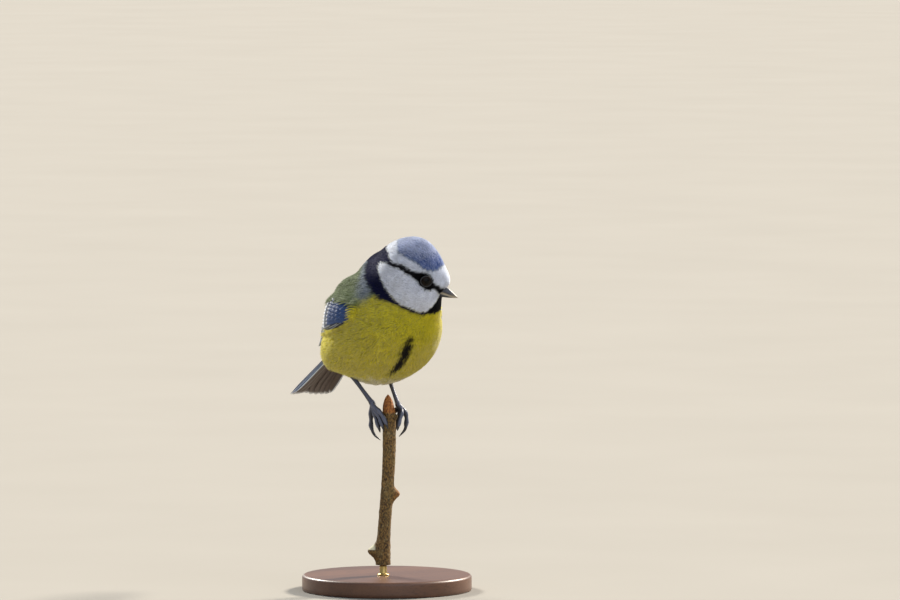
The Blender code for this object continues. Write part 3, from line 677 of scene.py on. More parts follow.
def coverShare(points, lie, length):
    # 0 where no feather grows: on the eyes, inside the bill and well under the wings
    cover = np.ones(len(points))
    for side in (-1, 1):
        centre, outward = eyePlace(side)
        off = points - centre
        wide = np.linalg.norm(off - (off @ outward)[:, None] * outward, axis=1)
        cover = cover * np.where((off @ outward > -4), ease(wide, 2.12, 2.3), 1.0)
    local = (points - headCentre) @ headTurn
    ahead = ease(-local[:, 1], 12.6, 13.4)
    billWide = np.hypot(local[:, 0] / 2.1, (local[:, 2] + 1.2) / 2.5)
    cover = cover * (1 - ahead * ease(billWide, 1.12, 0.98))
    for share in (0.0, 0.7):  # neither roots nor most of a feather's length lie on the open part of the wing
        s, t, h = wingPlaceOf(points + lie * (length * share)[:, None])
        low = np.interp(s, (0.0, 4.0, 8.0, 14.0, 24.0, 30.0, 34.0), (-2.2, -4.2, -5.0, -5.2, -4.6, -4.3, -6.0))
        high = np.interp(s, (0.0, 8.0, 16.0, 24.0, 36.0), (2.4, 2.8, 3.8, 3.6, 2.6))
        inside = (s > 1.2) & (s < 36) & (t > low) & (t < high) & (h > -9)
        cover = cover * np.where(inside, 0.0, 1.0)
    return cover


def dressSkin(skin):
    mesh = skin.data
    points = pointsOf(mesh)
    normals = bodyNormals(points)
    lie = featherLie(points, normals)
    fromBill = np.linalg.norm(points - fromHead((0, -12.5, -0.5)), axis=1)
    length = np.interp(fromBill, *zip(*coat["lengths"]))
    for side in (-1, 1):
        centre, _ = eyePlace(side)
        length = length * (0.42 + 0.58 * ease(np.linalg.norm(points - centre, axis=1), 2.6, 6.5))
    width = 0.20 * np.sqrt(length)
    marks = birdMarks(points + lie * (0.55 * length)[:, None])  # a tuft shows most at its outer half
    for name, values in marks.items():
        storeMark(mesh, name, values)
    storeMark(mesh, "featherLength", length * mm)
    storeMark(mesh, "featherWidth", width * mm)
    storeMark(mesh, "cover", np.clip(coverShare(points, lie, length) * 0.40 / (length * width), 0, 1))
    storeMark(mesh, "depth", coatDepth(points) * mm)
    storeMark(mesh, "fluff", 0.1 + 0.5 * ease(fromBill, 20, 40))
    storeMark(mesh, "lie", lie, "FLOAT_VECTOR")
    storeMark(mesh, "skinNormal", normals, "FLOAT_VECTOR")
    storeMark(mesh, "zone", coatZones(mesh), "INT", "FACE")
    unwrap(skin, "skinUv")


zoneNames = ("crown", "faceLeft", "faceRight", "throat", "breast", "flankLeft", "flankRight", "belly", "mantle",
             "rump")


def coatZones(mesh):
    faces = np.zeros(len(mesh.polygons) * 3, np.float32)
    mesh.polygons.foreach_get("center", faces)
    middle = faces.reshape(-1, 3).astype(float) / mm
    turn, height, far = headAngles(middle)
    left = ((middle - headCentre) @ headTurn)[:, 0]
    olive = birdMarks(middle)["olive"]
    zone = np.full(len(middle), 4)
    zone[np.abs(middle[:, 0]) > 11.0] = 5
    zone[middle[:, 0] < -11.0] = 6
    zone[(middle[:, 2] < 86) | (middle[:, 1] > 16)] = 7
    zone[olive > 0.5] = 8
    zone[(olive > 0.5) & (middle[:, 1] > 13)] = 9
    onHead = far < 19.5
    zone[onHead & (left >= 0)] = 1
    zone[onHead & (left < 0)] = 2
    zone[onHead & (height > 33)] = 0
    zone[(far < 24) & (height < -22) & (turn < 120)] = 3
    return zone


def makeDrape(skin):
    # what the feathers lie on: the skin with the folded wings and the tail's root
    drape = addObject("drape", skin.data.copy())
    pads = []
    for side in (-1, 1):
        chart = wingChart(side)
        u, v = np.meshgrid(np.linspace(0, 1, 26), np.linspace(-1, 1, 21), indexing="ij")
        half = 2.2 + 5.8 * np.sin(np.pi * np.clip(0.06 + u * 0.86, 0, 1)) ** 0.6
        top = -1.9 + 4.0 * np.sqrt(np.maximum(1 - v ** 2, 0)) * np.sin(np.pi * (0.04 + 0.9 * u)) ** 0.45
        s = -1.0 + 37.0 * u
        pads.append((chart(s, 0.9 + half * v, top), chart(s, 0.9 + half * v, -2.6)))
    u, v = np.meshgrid(np.linspace(0, 1, 16), np.linspace(-1, 1, 15), indexing="ij")
    s, half = 22.0 * u, 4.6 + 2.4 * u
    bulge = np.sqrt(np.maximum(1 - v ** 2, 0)) * (1 - u) ** 0.5
    pads.append((tailChart(s, half * v, 0.2 + 2.0 * bulge), tailChart(s, half * v, -2.4 - 2.4 * bulge)))
    bm = bmesh.new()
    bm.from_mesh(drape.data)
    for top, foot in pads:
        sheets = np.concatenate([top.reshape(-1, 3), foot.reshape(-1, 3)])
        verts = [bm.verts.new(p) for p in (sheets * mm).tolist()]
        for face in slabFaces(top.shape[0] - 1, top.shape[1] - 1):
            bm.faces.new([verts[k] for k in face])
    bm.to_mesh(drape.data)
    bm.free()
    faceOutward(drape)
    voxelWrap(drape, 0.8)
    step = drape.modifiers.new("soften", "SMOOTH")
    step.iterations = 4
    settle(drape)
    kept = ("position", "material_index")
    for layer in list(drape.data.attributes):
        if not layer.is_required and not layer.is_internal and layer.name not in kept:
            drape.data.attributes.remove(layer)
    flat = np.zeros(len(drape.data.vertices) * 3, np.float32)
    drape.data.vertices.foreach_get("normal", flat)
    storeMark(drape.data, "drapeNormal", flat.reshape(-1, 3), "FLOAT_VECTOR")
    return drape


# Plumage materials: keratin barbs are matt, a little silky along their length, and darker at the downy root

plumageColours = dict(
    breast=("#d9cc1e", "#9c9120"),  # tip, root
    olive=("#6d7c4a", "#3e4633"),
    belly=("#e6dfb4", "#b5a98a"),
    streak=("#17140f", "#1f1b15"),
    rim=("#7f8b9a", "#4c5560"),
    white=("#eef2fc", "#cfd6e6"),
    dark=("#060b38", "#030624"),
    ink=("#08080d", "#07070a"),
    cap=("#3d5c9e", "#22386c"),
)


def plumage(name, sheen=0.25):
    material, tree, shader = newMaterial(name, Roughness=0.72, Sheen_Roughness=0.45)
    black = reckon(tree, "MAXIMUM", readMark(tree, "dark"), readMark(tree, "streak"))
    silky = spread(tree, black, first=sheen, last=0.02)
    glint = spread(tree, black, first=0.28, last=0.10)
    tree.links.new(silky, shader.inputs["Sheen Weight"])
    tree.links.new(glint, shader.inputs["Specular IOR Level"])
    along = readMark(tree, "along")
    tone = readMark(tree, "tone")
    place = objectPlace(tree)
    patch = noise(tree, place, 330.0)
    tipShare = spread(tree, along, 0.15, 0.8)

    def coloured(key):
        tip, root = plumageColours[key]
        return mixColours(tree, tipShare, linear(root), linear(tip))

    colour = coloured("breast")
    for key in ("olive", "belly", "streak", "rim", "dark", "ink", "white"):
        colour = mixColours(tree, readMark(tree, key), colour, coloured(key))
    # the cap's lavender-white is a painted highlight, on the higher-toned tufts and strongest at the top of the
    # crown
    toneAndPaintedHighlight = reckon(tree, "ADD", tone, readMark(tree, "pale"))
    pale = spread(tree, toneAndPaintedHighlight, 0.5, 1.15, last=0.85)
    capColour = mixColours(tree, pale, coloured("cap"), linear("#c3cce6"))
    colour = mixColours(tree, readMark(tree, "cap"), colour, capColour)
    shade = spread(tree, tone, first=0.80, last=1.14)
    cloud = spread(tree, patch, 0.3, 0.7, 0.88, 1.08)
    value = reckon(tree, "MULTIPLY", shade, cloud)
    toned = addNode(tree, "ShaderNodeHueSaturation", {"Value": value, "Color": colour})
    tree.links.new(toned.outputs[0], shader.inputs["Base Color"])
    return material


# Feather tufts: one closed leaf, set on the skin by Geometry Nodes and laid along the coat

tuftShape = dict(stations=((0.34, 1.0), (0.74, 0.72)), ridge=0.085, patch=0.003)


def makeTuft():
    points, along, side, crest = [(0, 0, 0)], [0.0], [0.0], [0.0]
    for share, wide in tuftShape["stations"]:
        for across, up in ((-0.5, 0.0), (0.5, 0.0), (0.0, 1.0)):
            points.append((share, across * wide, up * 0.2))
            along.append(share)
            side.append(across * wide * 2)
            crest.append(up)
    points.append((1, 0, 0))
    along, side, crest = along + [1.0], side + [0.0], crest + [0.0]
    faces = [(0, 2, 1), (0, 1, 3), (0, 3, 2)]
    faces += [(1, 2, 5, 4), (2, 3, 6, 5), (3, 1, 4, 6)]
    faces += [(7, 4, 5), (7, 5, 6), (7, 6, 4)]
    tuft = meshObject("tuft", np.array(points) / mm, faces, dict(along=along, side=side, crest=crest))
    faceOutward(tuft)
    return tuft


def coatTree():
    tree = bpy.data.node_groups.new("featherCoat", "GeometryNodeTree")
    face = tree.interface
    face.new_socket("Geometry", in_out="INPUT", socket_type="NodeSocketGeometry")
    for name, kind in (("Tuft", "Object"), ("Drape", "Object"), ("Finish", "Material"), ("Zone", "Int"),
                       ("Density", "Float"), ("Wider", "Float"), ("Raise", "Float"), ("Seed", "Int")):
        face.new_socket(name, in_out="INPUT", socket_type="NodeSocket" + kind)
    face.new_socket("Geometry", in_out="OUTPUT", socket_type="NodeSocketGeometry")
    inputs = addNode(tree, "NodeGroupInput").outputs

    def named(name, kind="FLOAT"):
        return addNode(tree, "GeometryNodeInputNamedAttribute", {"Name": name}, data_type=kind).outputs[0]

    def math2(operation, a, b):
        return reckon(tree, operation, a, b)

    def scaled(vector, share):
        return addNode(tree, "ShaderNodeVectorMath", {0: vector, 3: share}, operation="SCALE").outputs[0]

    def summed(a, b):
        return addNode(tree, "ShaderNodeVectorMath", {0: a, 1: b}, operation="ADD").outputs[0]

    def draw(low, high, offset, kind="FLOAT"):
        seed = math2("ADD", inputs["Seed"], float(offset))
        key = {"FLOAT": (2, 3), "FLOAT_VECTOR": (0, 1)}[kind]
        ends = {key[0]: low, key[1]: high, "Seed": seed}
        drawn = addNode(tree, "FunctionNodeRandomValue", ends, data_type=kind)
        return drawn.outputs[1 if kind == "FLOAT" else 0]

    def onward(kind, geometry, more, **settings):
        return addNode(tree, "GeometryNode" + kind, {"Geometry": geometry, **more}, **settings).outputs[0]

    zones = {2: named("zone", "INT"), 3: inputs["Zone"]}
    inZone = addNode(tree, "FunctionNodeCompare", zones, data_type="INT", operation="EQUAL").outputs[0]
    spacing = math2("DIVIDE", 0.55, math2("SQRT", inputs["Density"], 0.0))
    where = {"Mesh": inputs["Geometry"], "Selection": inZone, "Distance Min": spacing,
             "Density Max": inputs["Density"], "Density Factor": named("cover"), "Seed": inputs["Seed"]}
    scattered = addNode(tree, "GeometryNodeDistributePointsOnFaces", where, distribute_method="POISSON")
    points = scattered.outputs["Points"]
    for name, kind, value in (("tone", "FLOAT", draw(0.0, 1.0, 3)), ("lift", "FLOAT", draw(-0.25, 1.0, 5)),
                              ("rootPlace", "FLOAT_VECTOR", named("skinUv", "FLOAT_VECTOR"))):
        points = onward("StoreNamedAttribute", points, {"Name": name, "Value": value}, data_type=kind,
                        domain="POINT")
    axes = {0: named("skinNormal", "FLOAT_VECTOR"), 1: named("lie", "FLOAT_VECTOR")}
    turned = addNode(tree, "FunctionNodeAxesToRotation", axes, primary_axis="Z", secondary_axis="X").outputs[0]
    sway = draw((0.0, 0.0, -0.17), (0.0, 0.0, 0.17), 7, "FLOAT_VECTOR")
    wobble = addNode(tree, "FunctionNodeEulerToRotation", {0: sway}).outputs[0]
    both = {0: turned, 1: wobble}
    turned = addNode(tree, "FunctionNodeRotateRotation", both, rotation_space="LOCAL").outputs[0]
    length = math2("MULTIPLY", named("featherLength"), draw(0.78, 1.2, 9))
    width = math2("MULTIPLY", math2("MULTIPLY", named("featherWidth"), inputs["Wider"]), draw(0.8, 1.2, 11))
    size = addNode(tree, "ShaderNodeCombineXYZ", {0: length, 1: width, 2: 0.0003}).outputs[0]
    tuft = addNode(tree, "GeometryNodeObjectInfo", {"Object": inputs["Tuft"]}).outputs["Geometry"]
    placed = addNode(tree, "GeometryNodeInstanceOnPoints",
                     {"Points": points, "Instance": tuft, "Rotation": turned, "Scale": size}).outputs[0]
    solid = addNode(tree, "GeometryNodeRealizeInstances", {0: placed}).outputs[0]
    drape = addNode(tree, "GeometryNodeObjectInfo", {"Object": inputs["Drape"]}).outputs["Geometry"]
    here = addNode(tree, "GeometryNodeInputPosition").outputs[0]

    def nearest(value):
        node = addNode(tree, "GeometryNodeSampleNearestSurface", {"Mesh": drape, "Sample Position": here},
                       data_type="FLOAT_VECTOR")
        tree.links.new(value, node.inputs["Value"])
        return node.outputs[0]

    along = named("along")
    rise = math2("ADD", math2("MULTIPLY", along, math2("SUBTRACT", 1.75, math2("MULTIPLY", along, 0.5))), -0.3)
    loose = math2("MULTIPLY", math2("MULTIPLY", named("lift"), named("fluff")), math2("POWER", along, 2.0))
    rise = math2("MULTIPLY", math2("MULTIPLY", math2("ADD", rise, loose), inputs["Raise"]), named("depth"))
    rise = math2("ADD", rise, math2("MULTIPLY", named("crest"), tuftShape["ridge"] * mm))
    laid = summed(nearest(here), scaled(nearest(named("drapeNormal", "FLOAT_VECTOR")), rise))
    solid = onward("SetPosition", solid, {"Position": laid})
    patch = addNode(tree, "ShaderNodeCombineXYZ", {0: math2("SUBTRACT", along, 0.5),
                                                   1: math2("MULTIPLY", named("side"), 0.5)}).outputs[0]
    place = summed(named("rootPlace", "FLOAT_VECTOR"), scaled(patch, tuftShape["patch"]))
    solid = onward("StoreNamedAttribute", solid, {"Name": "OFBake", "Value": place}, data_type="FLOAT2",
                   domain="CORNER")
    for name in ("rootPlace", "skinUv", "lie", "skinNormal", "depth", "fluff", "cover", "featherLength",
                 "featherWidth", "crest", "side", "lift", "zone"):
        solid = onward("RemoveAttribute", solid, {"Name": name})
    solid = onward("SetShadeSmooth", solid, {"Shade Smooth": True})
    solid = onward("SetMaterial", solid, {"Material": inputs["Finish"]})
    addNode(tree, "NodeGroupOutput", {0: solid})
    return tree


def growCoat(skin, drape, finish):
    tuft, tree = makeTuft(), coatTree()
    slots = dict.fromkeys(("crown", "faceLeft", "faceRight"), "crown_plumage")
    slots["throat"] = "neck_plumage"
    head, trunk = dict(Wider=0.95), dict(Density=110e6, Wider=0.88)
    settings = dict(crown=head, faceLeft=head, faceRight=head, throat=head, breast=trunk, flankLeft=trunk,
                    flankRight=dict(trunk, Raise=1.35), mantle=trunk, rump=trunk)
    total = 0
    for number, zone in enumerate(zoneNames):
        piece = addObject("coat_" + zone, skin.data.copy())
        values = dict(Tuft=tuft, Drape=drape, Finish=finish, Zone=number, Density=60e6, Wider=1.0, Raise=1.0,
                      Seed=40 + number)
        values.update(settings.get(zone, {}))
        runTree(piece, tree, values)
        piece.data.uv_layers.active = piece.data.uv_layers["OFBake"]
        count = sum(len(p.vertices) - 2 for p in piece.data.polygons)
        total += count
        print("  coat", zone, count, "triangles")
        handOver(piece, None, slots.get(zone, "breast_plumage"))
    bpy.data.objects.remove(tuft)
    print("coat laid,", total, "triangles")


skin = makeSkin()
dressSkin(skin)
drape = makeDrape(skin)
print("skin made,", len(skin.data.polygons), "faces; drape,", len(drape.data.polygons))
softPlumage = plumage("barbedPlumage")
handOver(skin, softPlumage, "breast_plumage", "head", "neck", "torso")
growCoat(skin, drape, softPlumage)
bpy.data.objects.remove(drape)


# Flight feathers, coverts and tail feathers: thin closed vanes, laid on the wing's and the tail's chart

def vane(place, root, tip, width, heights, tilt=0.0, bow=0.0, rows=14, cols=6, tipShare=0.3, thick=0.2,
         camber=0.12, **looks):
    root, tip = np.array(root, float), np.array(tip, float)
    run = tip - root
    length = np.linalg.norm(run)
    across = np.array([-run[1], run[0]]) / length
    u = 1 - (1 - np.linspace(0, 1, rows + 1)) ** 1.25
    fall = np.sqrt(np.maximum(0.0, 1 - np.maximum(0.0, (u - 1 + tipShare) / tipShare) ** 2))
    half = width / 2 * (0.45 + 0.55 * ease(u, 0, 0.45)) * np.maximum(fall, 0.10)
    u, v = np.meshgrid(u, np.linspace(-1, 1, cols + 1), indexing="ij")
    middle = root + run * u[..., None] + across * (bow * np.sin(np.pi * u))[..., None]
    spot = middle + across * (half[:, None] * v)[..., None]
    if callable(heights):
        lift = heights(spot[..., 0], spot[..., 1], u)
    else:
        lift = heights[0] + (heights[1] - heights[0]) * u
    lift = lift + tilt * v + camber * (1 - v ** 2)
    body = thick / 2 * (1 - 0.5 * u) * (1 - 0.6 * np.abs(v) ** 3)
    top, foot = place(spot[..., 0], spot[..., 1], lift + body), place(spot[..., 0], spot[..., 1], lift - body)
    points = np.concatenate([top.reshape(-1, 3), foot.reshape(-1, 3)])
    count, faces = len(points) // 2, slabFaces(rows, cols)
    both = dict(
        along=np.concatenate([u.ravel()] * 2),
        across=np.concatenate([v.ravel()] * 2),
        barb=np.concatenate([(u * length - np.abs(v) * half.max() * 1.3).ravel()] * 2),
        under=np.concatenate([np.zeros(count), np.ones(count)]),
    )
    for name, value in looks.items():
        both[name] = np.full(len(points), float(value))
    patch = np.stack([both["along"], (both["across"] * 0.24 + 0.25) + 0.5 * both["under"]], axis=1)
    return dict(points=points, faces=faces, marks=both, patch=patch)


def joinVanes(name, parts, columns=8):
    points, faces, patches, marks, count = [], [], [], {}, 0
    rows = math.ceil(len(parts) / columns)
    for number, part in enumerate(parts):
        points.append(part["points"])
        faces += [tuple(k + count for k in face) for face in part["faces"]]
        cell = np.array([number % columns, number // columns])
        patches.append((cell + 0.04 + 0.92 * part["patch"]) / (columns, rows))
        for key, values in part["marks"].items():
            marks.setdefault(key, []).append(values)
        count += len(part["points"])
    made = meshObject(name, np.concatenate(points), faces, {k: np.concatenate(v) for k, v in marks.items()})
    faceOutward(made)
    patches = np.concatenate(patches)
    layer = made.data.uv_layers.new(name="OFBake")
    corners = np.zeros(len(made.data.loops), np.int32)
    made.data.loops.foreach_get("vertex_index", corners)
    layer.data.foreach_set("uv", patches[corners].astype(np.float32).ravel())
    return made


def flightFeather(name, outer, inner, under, fringe=-0.72):
    # keratin vanes: matt with a faint silky line, a darker inner web and a thin pale outer edge
    material, tree, shader = newMaterial(name, Roughness=0.55, Sheen_Weight=0.15)
    shader.inputs["Specular IOR Level"].default_value = 0.35
    marks = {key: readMark(tree, key) for key in ("along", "across", "barb", "under", "blue", "edge", "white")}

    def ramp(value, low, high):
        return spread(tree, value, low, high, interpolation_type="SMOOTHSTEP")

    def both(a, b, operation="MULTIPLY"):
        return reckon(tree, operation, a, b)

    # barbs are about 0.1 mm apart on the real vane; drawn 0.5 mm apart so that they show
    barbs = both(both(marks["barb"], tau / 0.5), 0.0, "SINE")
    outerWeb = both(ramp(marks["across"], 0.12, -0.25), marks["blue"])
    colour = mixColours(tree, outerWeb, linear(inner), linear(outer))
    wholeBlue = ramp(marks["blue"], 1.0, 1.5)
    colour = mixColours(tree, wholeBlue, colour, linear(outer))
    paleEdge = both(ramp(marks["across"], fringe, fringe - 0.18), marks["edge"])
    colour = mixColours(tree, both(marks["under"], 0.9), colour, linear(under))
    colour = mixColours(tree, paleEdge, colour, linear("#dde5ea"))
    whiteTip = ramp(both(marks["along"], marks["white"], "ADD"), 0.98, 1.03)
    colour = mixColours(tree, whiteTip, colour, linear("#eef1f4"))
    shaft = ramp(both(marks["across"], 0.0, "ABSOLUTE"), 0.09, 0.04)
    colour = mixColours(tree, both(shaft, 0.6), colour, linear("#1c1d22"))
    value = spread(tree, barbs, -1.0, 1.0, 0.86, 1.1)
    toned = addNode(tree, "ShaderNodeHueSaturation", {"Value": value, "Color": colour})
    tree.links.new(toned.outputs[0], shader.inputs["Base Color"])
    roughen(tree, shader, barbs, 0.25)
    return material


def wingPadHalf(u):
    return 1.0 + 6.4 * np.sin(np.pi * np.minimum(1.0, 0.12 + u * 0.86)) ** 0.6


def wingPadTop(s, t):
    u = np.clip((s + 1.0) / 37.0, 0, 1)
    v = np.clip((t - 0.6 - u) / wingPadHalf(u), -1, 1)
    swell = 1.65 * np.sin(np.pi * (0.15 + 0.8 * u)) ** 0.7
    return -0.4 + (0.55 + swell * np.sqrt(1 - v ** 2)) * ease(u, 0, 0.2)


def wingPad(place):
    rows, cols = 30, 18
    u, v = np.meshgrid(np.linspace(0, 1, rows + 1), np.linspace(-1, 1, cols + 1), indexing="ij")
    s, t = -1.0 + 35.0 * u, 0.6 + u + wingPadHalf(u) * v
    top, foot = place(s, t, wingPadTop(s, t)), place(s, t, -0.95)
    points = np.concatenate([top.reshape(-1, 3), foot.reshape(-1, 3)])
    count, faces = len(points) // 2, slabFaces(rows, cols)
    zero = np.zeros(len(points))
    marks = dict(along=zero + 0.3, across=zero, barb=np.concatenate([s.ravel()] * 2), blue=zero + 0.8,
                 under=np.concatenate([zero[:count], zero[:count] + 1]), edge=zero, white=zero)
    flat = v.ravel() * 0.24
    patch = np.stack([np.concatenate([u.ravel()] * 2), np.concatenate([flat + 0.25, flat + 0.75])], axis=1)
    return dict(points=points, faces=faces, marks=marks, patch=patch)


# Each tier, from the lowest edge inwards and up. The six numbers are s and t of the root, s and t of the tip, and
# the height at root and tip: of the first feather, and how they change over the tier.

tiers = dict(
    primaries=dict(count=9, run=4.0, first=(15, -4.6, 54.0, -1.2, 0.1, 0.1), change=(0, 0.8, -3.6, 0.6, 0.1, 0.3),
                   width=4.0, tilt=-0.2, rows=24, tipShare=0.16, blue=0.45, edge=0.9),
    secondaries=dict(count=6, run=3.0, first=(14, -1.6, 41.0, 0.2, 0.4, 0.95), change=(0, 1.4, -2.8, 1.3, 0, 0.22),
                     width=4.6, tilt=-0.25, rows=20, tipShare=0.2, blue=0.5, edge=0.95, white=0.03),
    tertials=dict(count=3, run=2.0, first=(15, 3.0, 37.5, 4.0, 0.9, 1.55), change=(0, 0.8, -5.0, 1.1, 0, 0.3),
                  width=5.6, tilt=-0.25, rows=18, blue=0.7, edge=0.9, white=0.09),
    alula=dict(count=3, run=2.0, first=(4.5, -4.0, 17.0, -5.6, 0.5, 1.1), change=(0, 0.6, -2.6, 1.0, 0, 0.2),
               width=2.6, tilt=-0.2, blue=0.2, edge=0.5),
    primaryCoverts=dict(count=6, run=2.0, first=(5.5, -4.2, 26.0, -5.4, 0.5, 0.75),
                        change=(0, 0.5, -4.0, 1.1, 0, 0.3), width=3.0, tilt=-0.2, blue=0.25, edge=0.3),
    greaterCoverts=dict(count=9, run=5.0, first=(7, -3.2, 21.6, -3.8, 0.9, 1.8), change=(0, 1.6, -0.7, 2.0, 0, 0),
                        width=3.0, tilt=-0.3, blue=0.5, edge=0.6, white=0.2),
    medianCoverts=dict(count=8, run=4.0, first=(3, -2.8, 14.0, -3.6, 0.6, 2.15), change=(0, 1.8, -0.5, 2.3, 0, 0),
                       width=3.2, tilt=-0.3, rows=10, blue=1.6, edge=0.0, white=0.05),
)
lesser = dict(rows=5, across=5)


def makeWing(side):
    place = wingChart(side)
    parts = [wingPad(place)]

    def add(*args, **more):
        looks = dict(blue=0.8, edge=0.6, white=0.0)
        looks.update(more)
        parts.append(vane(place, *args, **looks))

    for tier in tiers.values():
        count, run, first, change, width = (tier[key] for key in ("count", "run", "first", "change", "width"))
        looks = {key: tier[key] for key in ("tilt", "rows", "tipShare", "blue", "edge", "white") if key in tier}
        for k in range(count):
            x = run * k / (count - 1)
            spots = [start + step * x for start, step in zip(first, change)]
            add(spots[0:2], spots[2:4], width, spots[4:6], **looks)
    for row in range(lesser["rows"]):  # small scale-like coverts over the forearm
        for k in range(lesser["across"]):
            s = -2.6 + 2.3 * (lesser["rows"] - 1 - row) - 0.25 * (k % 2)
            t = -3.6 + 1.55 * k + 0.75 * (row % 2)
            if s < 1.0 and t > 1.0:
                continue

            def lift(a, b, u, s=s):
                return wingPadTop(a, b) - 0.35 + 0.85 * u

            add((s, t * 0.9), (s + 5.6, t), 2.5, lift, tilt=-0.12, rows=7, cols=4, blue=1.6, edge=0.0,
                tipShare=0.45)
    name = "wingFeathersLeft" if side > 0 else "wingFeathersRight"
    return joinVanes(name, parts)


def makeTail():
    parts = []
    shafts = (1.0, 3.0, 5.0, 6.9, 8.5, 9.9)
    ends = (1.0, 1.2, 0.9, 0.1, -1.5, -4.0)  # the tail's end is gently rounded
    for k, (shaft, end) in enumerate(zip(shafts, ends)):
        for side in (-1, 1):
            low = -0.33 * k
            made = vane(tailChart, (0.0, side * shaft * 0.4), (tailShape["length"] + 2.8 + end, side * shaft),
                        6.4 - 0.4 * k, (low, low), rows=30, cols=8, tipShare=0.2, thick=0.24, camber=0.05,
                        blue=1.2 if k < 5 else 0.9, edge=1.0 if k == 5 else 0.3, white=0.026)
            made["marks"]["across"] = made["marks"]["across"] * -side  # the outer web is away from the middle
            parts.append(made)
    return joinVanes("tailFeathers", parts, 6)


vaneBlue = flightFeather("barbedFlightVane", "#274679", "#171a24", "#5c5854")
vaneTail = flightFeather("barbedTailVane", "#3f5a8c", "#2b3240", "#54412f", fringe=-0.5)
for side, node in ((1, "wing_left"), (-1, "wing_right")):
    handOver(makeWing(side), vaneBlue, "flight_feather", node)
handOver(makeTail(), vaneTail, "tail_feather", "tail")
print("wings and tail feathered")


# Eyes: wet dark brown globes with black pupils, in bare beaded lids

def globe(centre, axis, radius, around=56, along=32):
    axis = unit(axis)
    side = unit(np.cross(axis, (0.3, 0.2, 1.0)))
    third = np.cross(axis, side)
    points, faces, off = [centre + axis * radius], [], [0.0]
    for j in range(1, along):
        angle = math.pi * j / along
        for i in range(around):
            spin = tau * i / around
            way = math.cos(angle) * axis + math.sin(angle) * (math.cos(spin) * side + math.sin(spin) * third)
            points.append(centre + way * radius)
            off.append(math.degrees(angle))
    points.append(centre - axis * radius)
    off.append(180.0)
    last = len(points) - 1
    for i in range(around):
        after = (i + 1) % around
        faces.append((0, 1 + i, 1 + after))
        faces.append((last, last - around + after, last - around + i))
    faces += ringFaces(along - 1, around, 1)
    return points, faces, off


def makeEye(side, name):
    centre, outward = eyePlace(side)
    points, faces, off = globe(centre, outward, eye["radius"])
    made = meshObject(name, points, faces, dict(offAxis=off))
    faceOutward(made)
    return made


def makeLids(side, name):
    centre, outward = eyePlace(side)
    rim = centre + outward * (eye["radius"] - eye["proud"] + 0.05)
    along = unit(headTurn @ np.array([0.0, -1.0, 0.15]))
    along = unit(along - outward * np.dot(along, outward))
    up = np.cross(outward, along)
    points, faces = [], []
    around, sides = 72, 12
    for i in range(around):
        angle = tau * i / around
        wide = 2.06 + 0.22 * abs(math.cos(angle)) ** 3  # a little almond, with drawn-out corners
        way = math.cos(angle) * along * wide + math.sin(angle) * up * 1.92
        bead = 0.21 + 0.03 * math.cos(angle * 24)
        for k in range(sides):
            spin = tau * k / sides
            thick = unit(way) * 1.25 * math.cos(spin) + outward * math.sin(spin)
            points.append(rim + way + bead * thick)
    for i in range(around):
        for k in range(sides):
            a, b = i * sides + k, i * sides + (k + 1) % sides
            c, d = (i + 1) % around * sides + (k + 1) % sides, (i + 1) % around * sides + k
            faces.append((a, d, c, b))
    made = meshObject(name, points, faces)
    faceOutward(made)
    return made


def wetEye():
    # a cornea over dark iris: mirror-smooth, black pupil, iris only just browner
    material, tree, shader = newMaterial("wetCornea", Roughness=0.08, Coat_Weight=0.05, Coat_Roughness=0.02)
    shader.inputs["IOR"].default_value = 1.376
    shader.inputs["Specular IOR Level"].default_value = 0.14
    off = readMark(tree, "offAxis")
    iris = spread(tree, off, 24.0, 28.0)
    rim = spread(tree, off, 44.0, 54.0)
    place = objectPlace(tree)
    fleck = noise(tree, place, 2600.0)
    brown = mixColours(tree, fleck, linear("#0a0604"), linear("#1a0e07"))
    colour = mixColours(tree, iris, linear("#030303"), brown)
    colour = mixColours(tree, rim, colour, linear("#060505"))
    tree.links.new(colour, shader.inputs["Base Color"])
    return material


def bareSkin(name, low, high, scale, roughness=0.5):
    # horny or bare skin: fine grain, a faint sheen where it is stretched
    material, tree, shader = newMaterial(name, Roughness=roughness)
    place = objectPlace(tree)
    grain = noise(tree, place, scale, 4.0)
    tree.links.new(mixColours(tree, grain, linear(low), linear(high)), shader.inputs["Base Color"])
    roughen(tree, shader, grain, 0.3)
    return material


eyeGloss = wetEye()
lidSkin = bareSkin("bareLidSkin", "#09090c", "#15151b", 2400.0, 0.45)
for side, word in ((1, "Left"), (-1, "Right")):
    handOver(makeEye(side, "eyeGlobe" + word), eyeGloss, "eye", "eye_" + word.lower())
    handOver(makeLids(side, "eyelids" + word), lidSkin, "eye")
print("eyes set")


# Bill: two horn halves with a ridge, cutting edges and nostrils, and bristles at its root

bill = dict(root=11.5, tip=20.7, gape=-1.6, halfWidth=2.15, upperDeep=3.15, lowerDeep=1.95, gap=0.10)


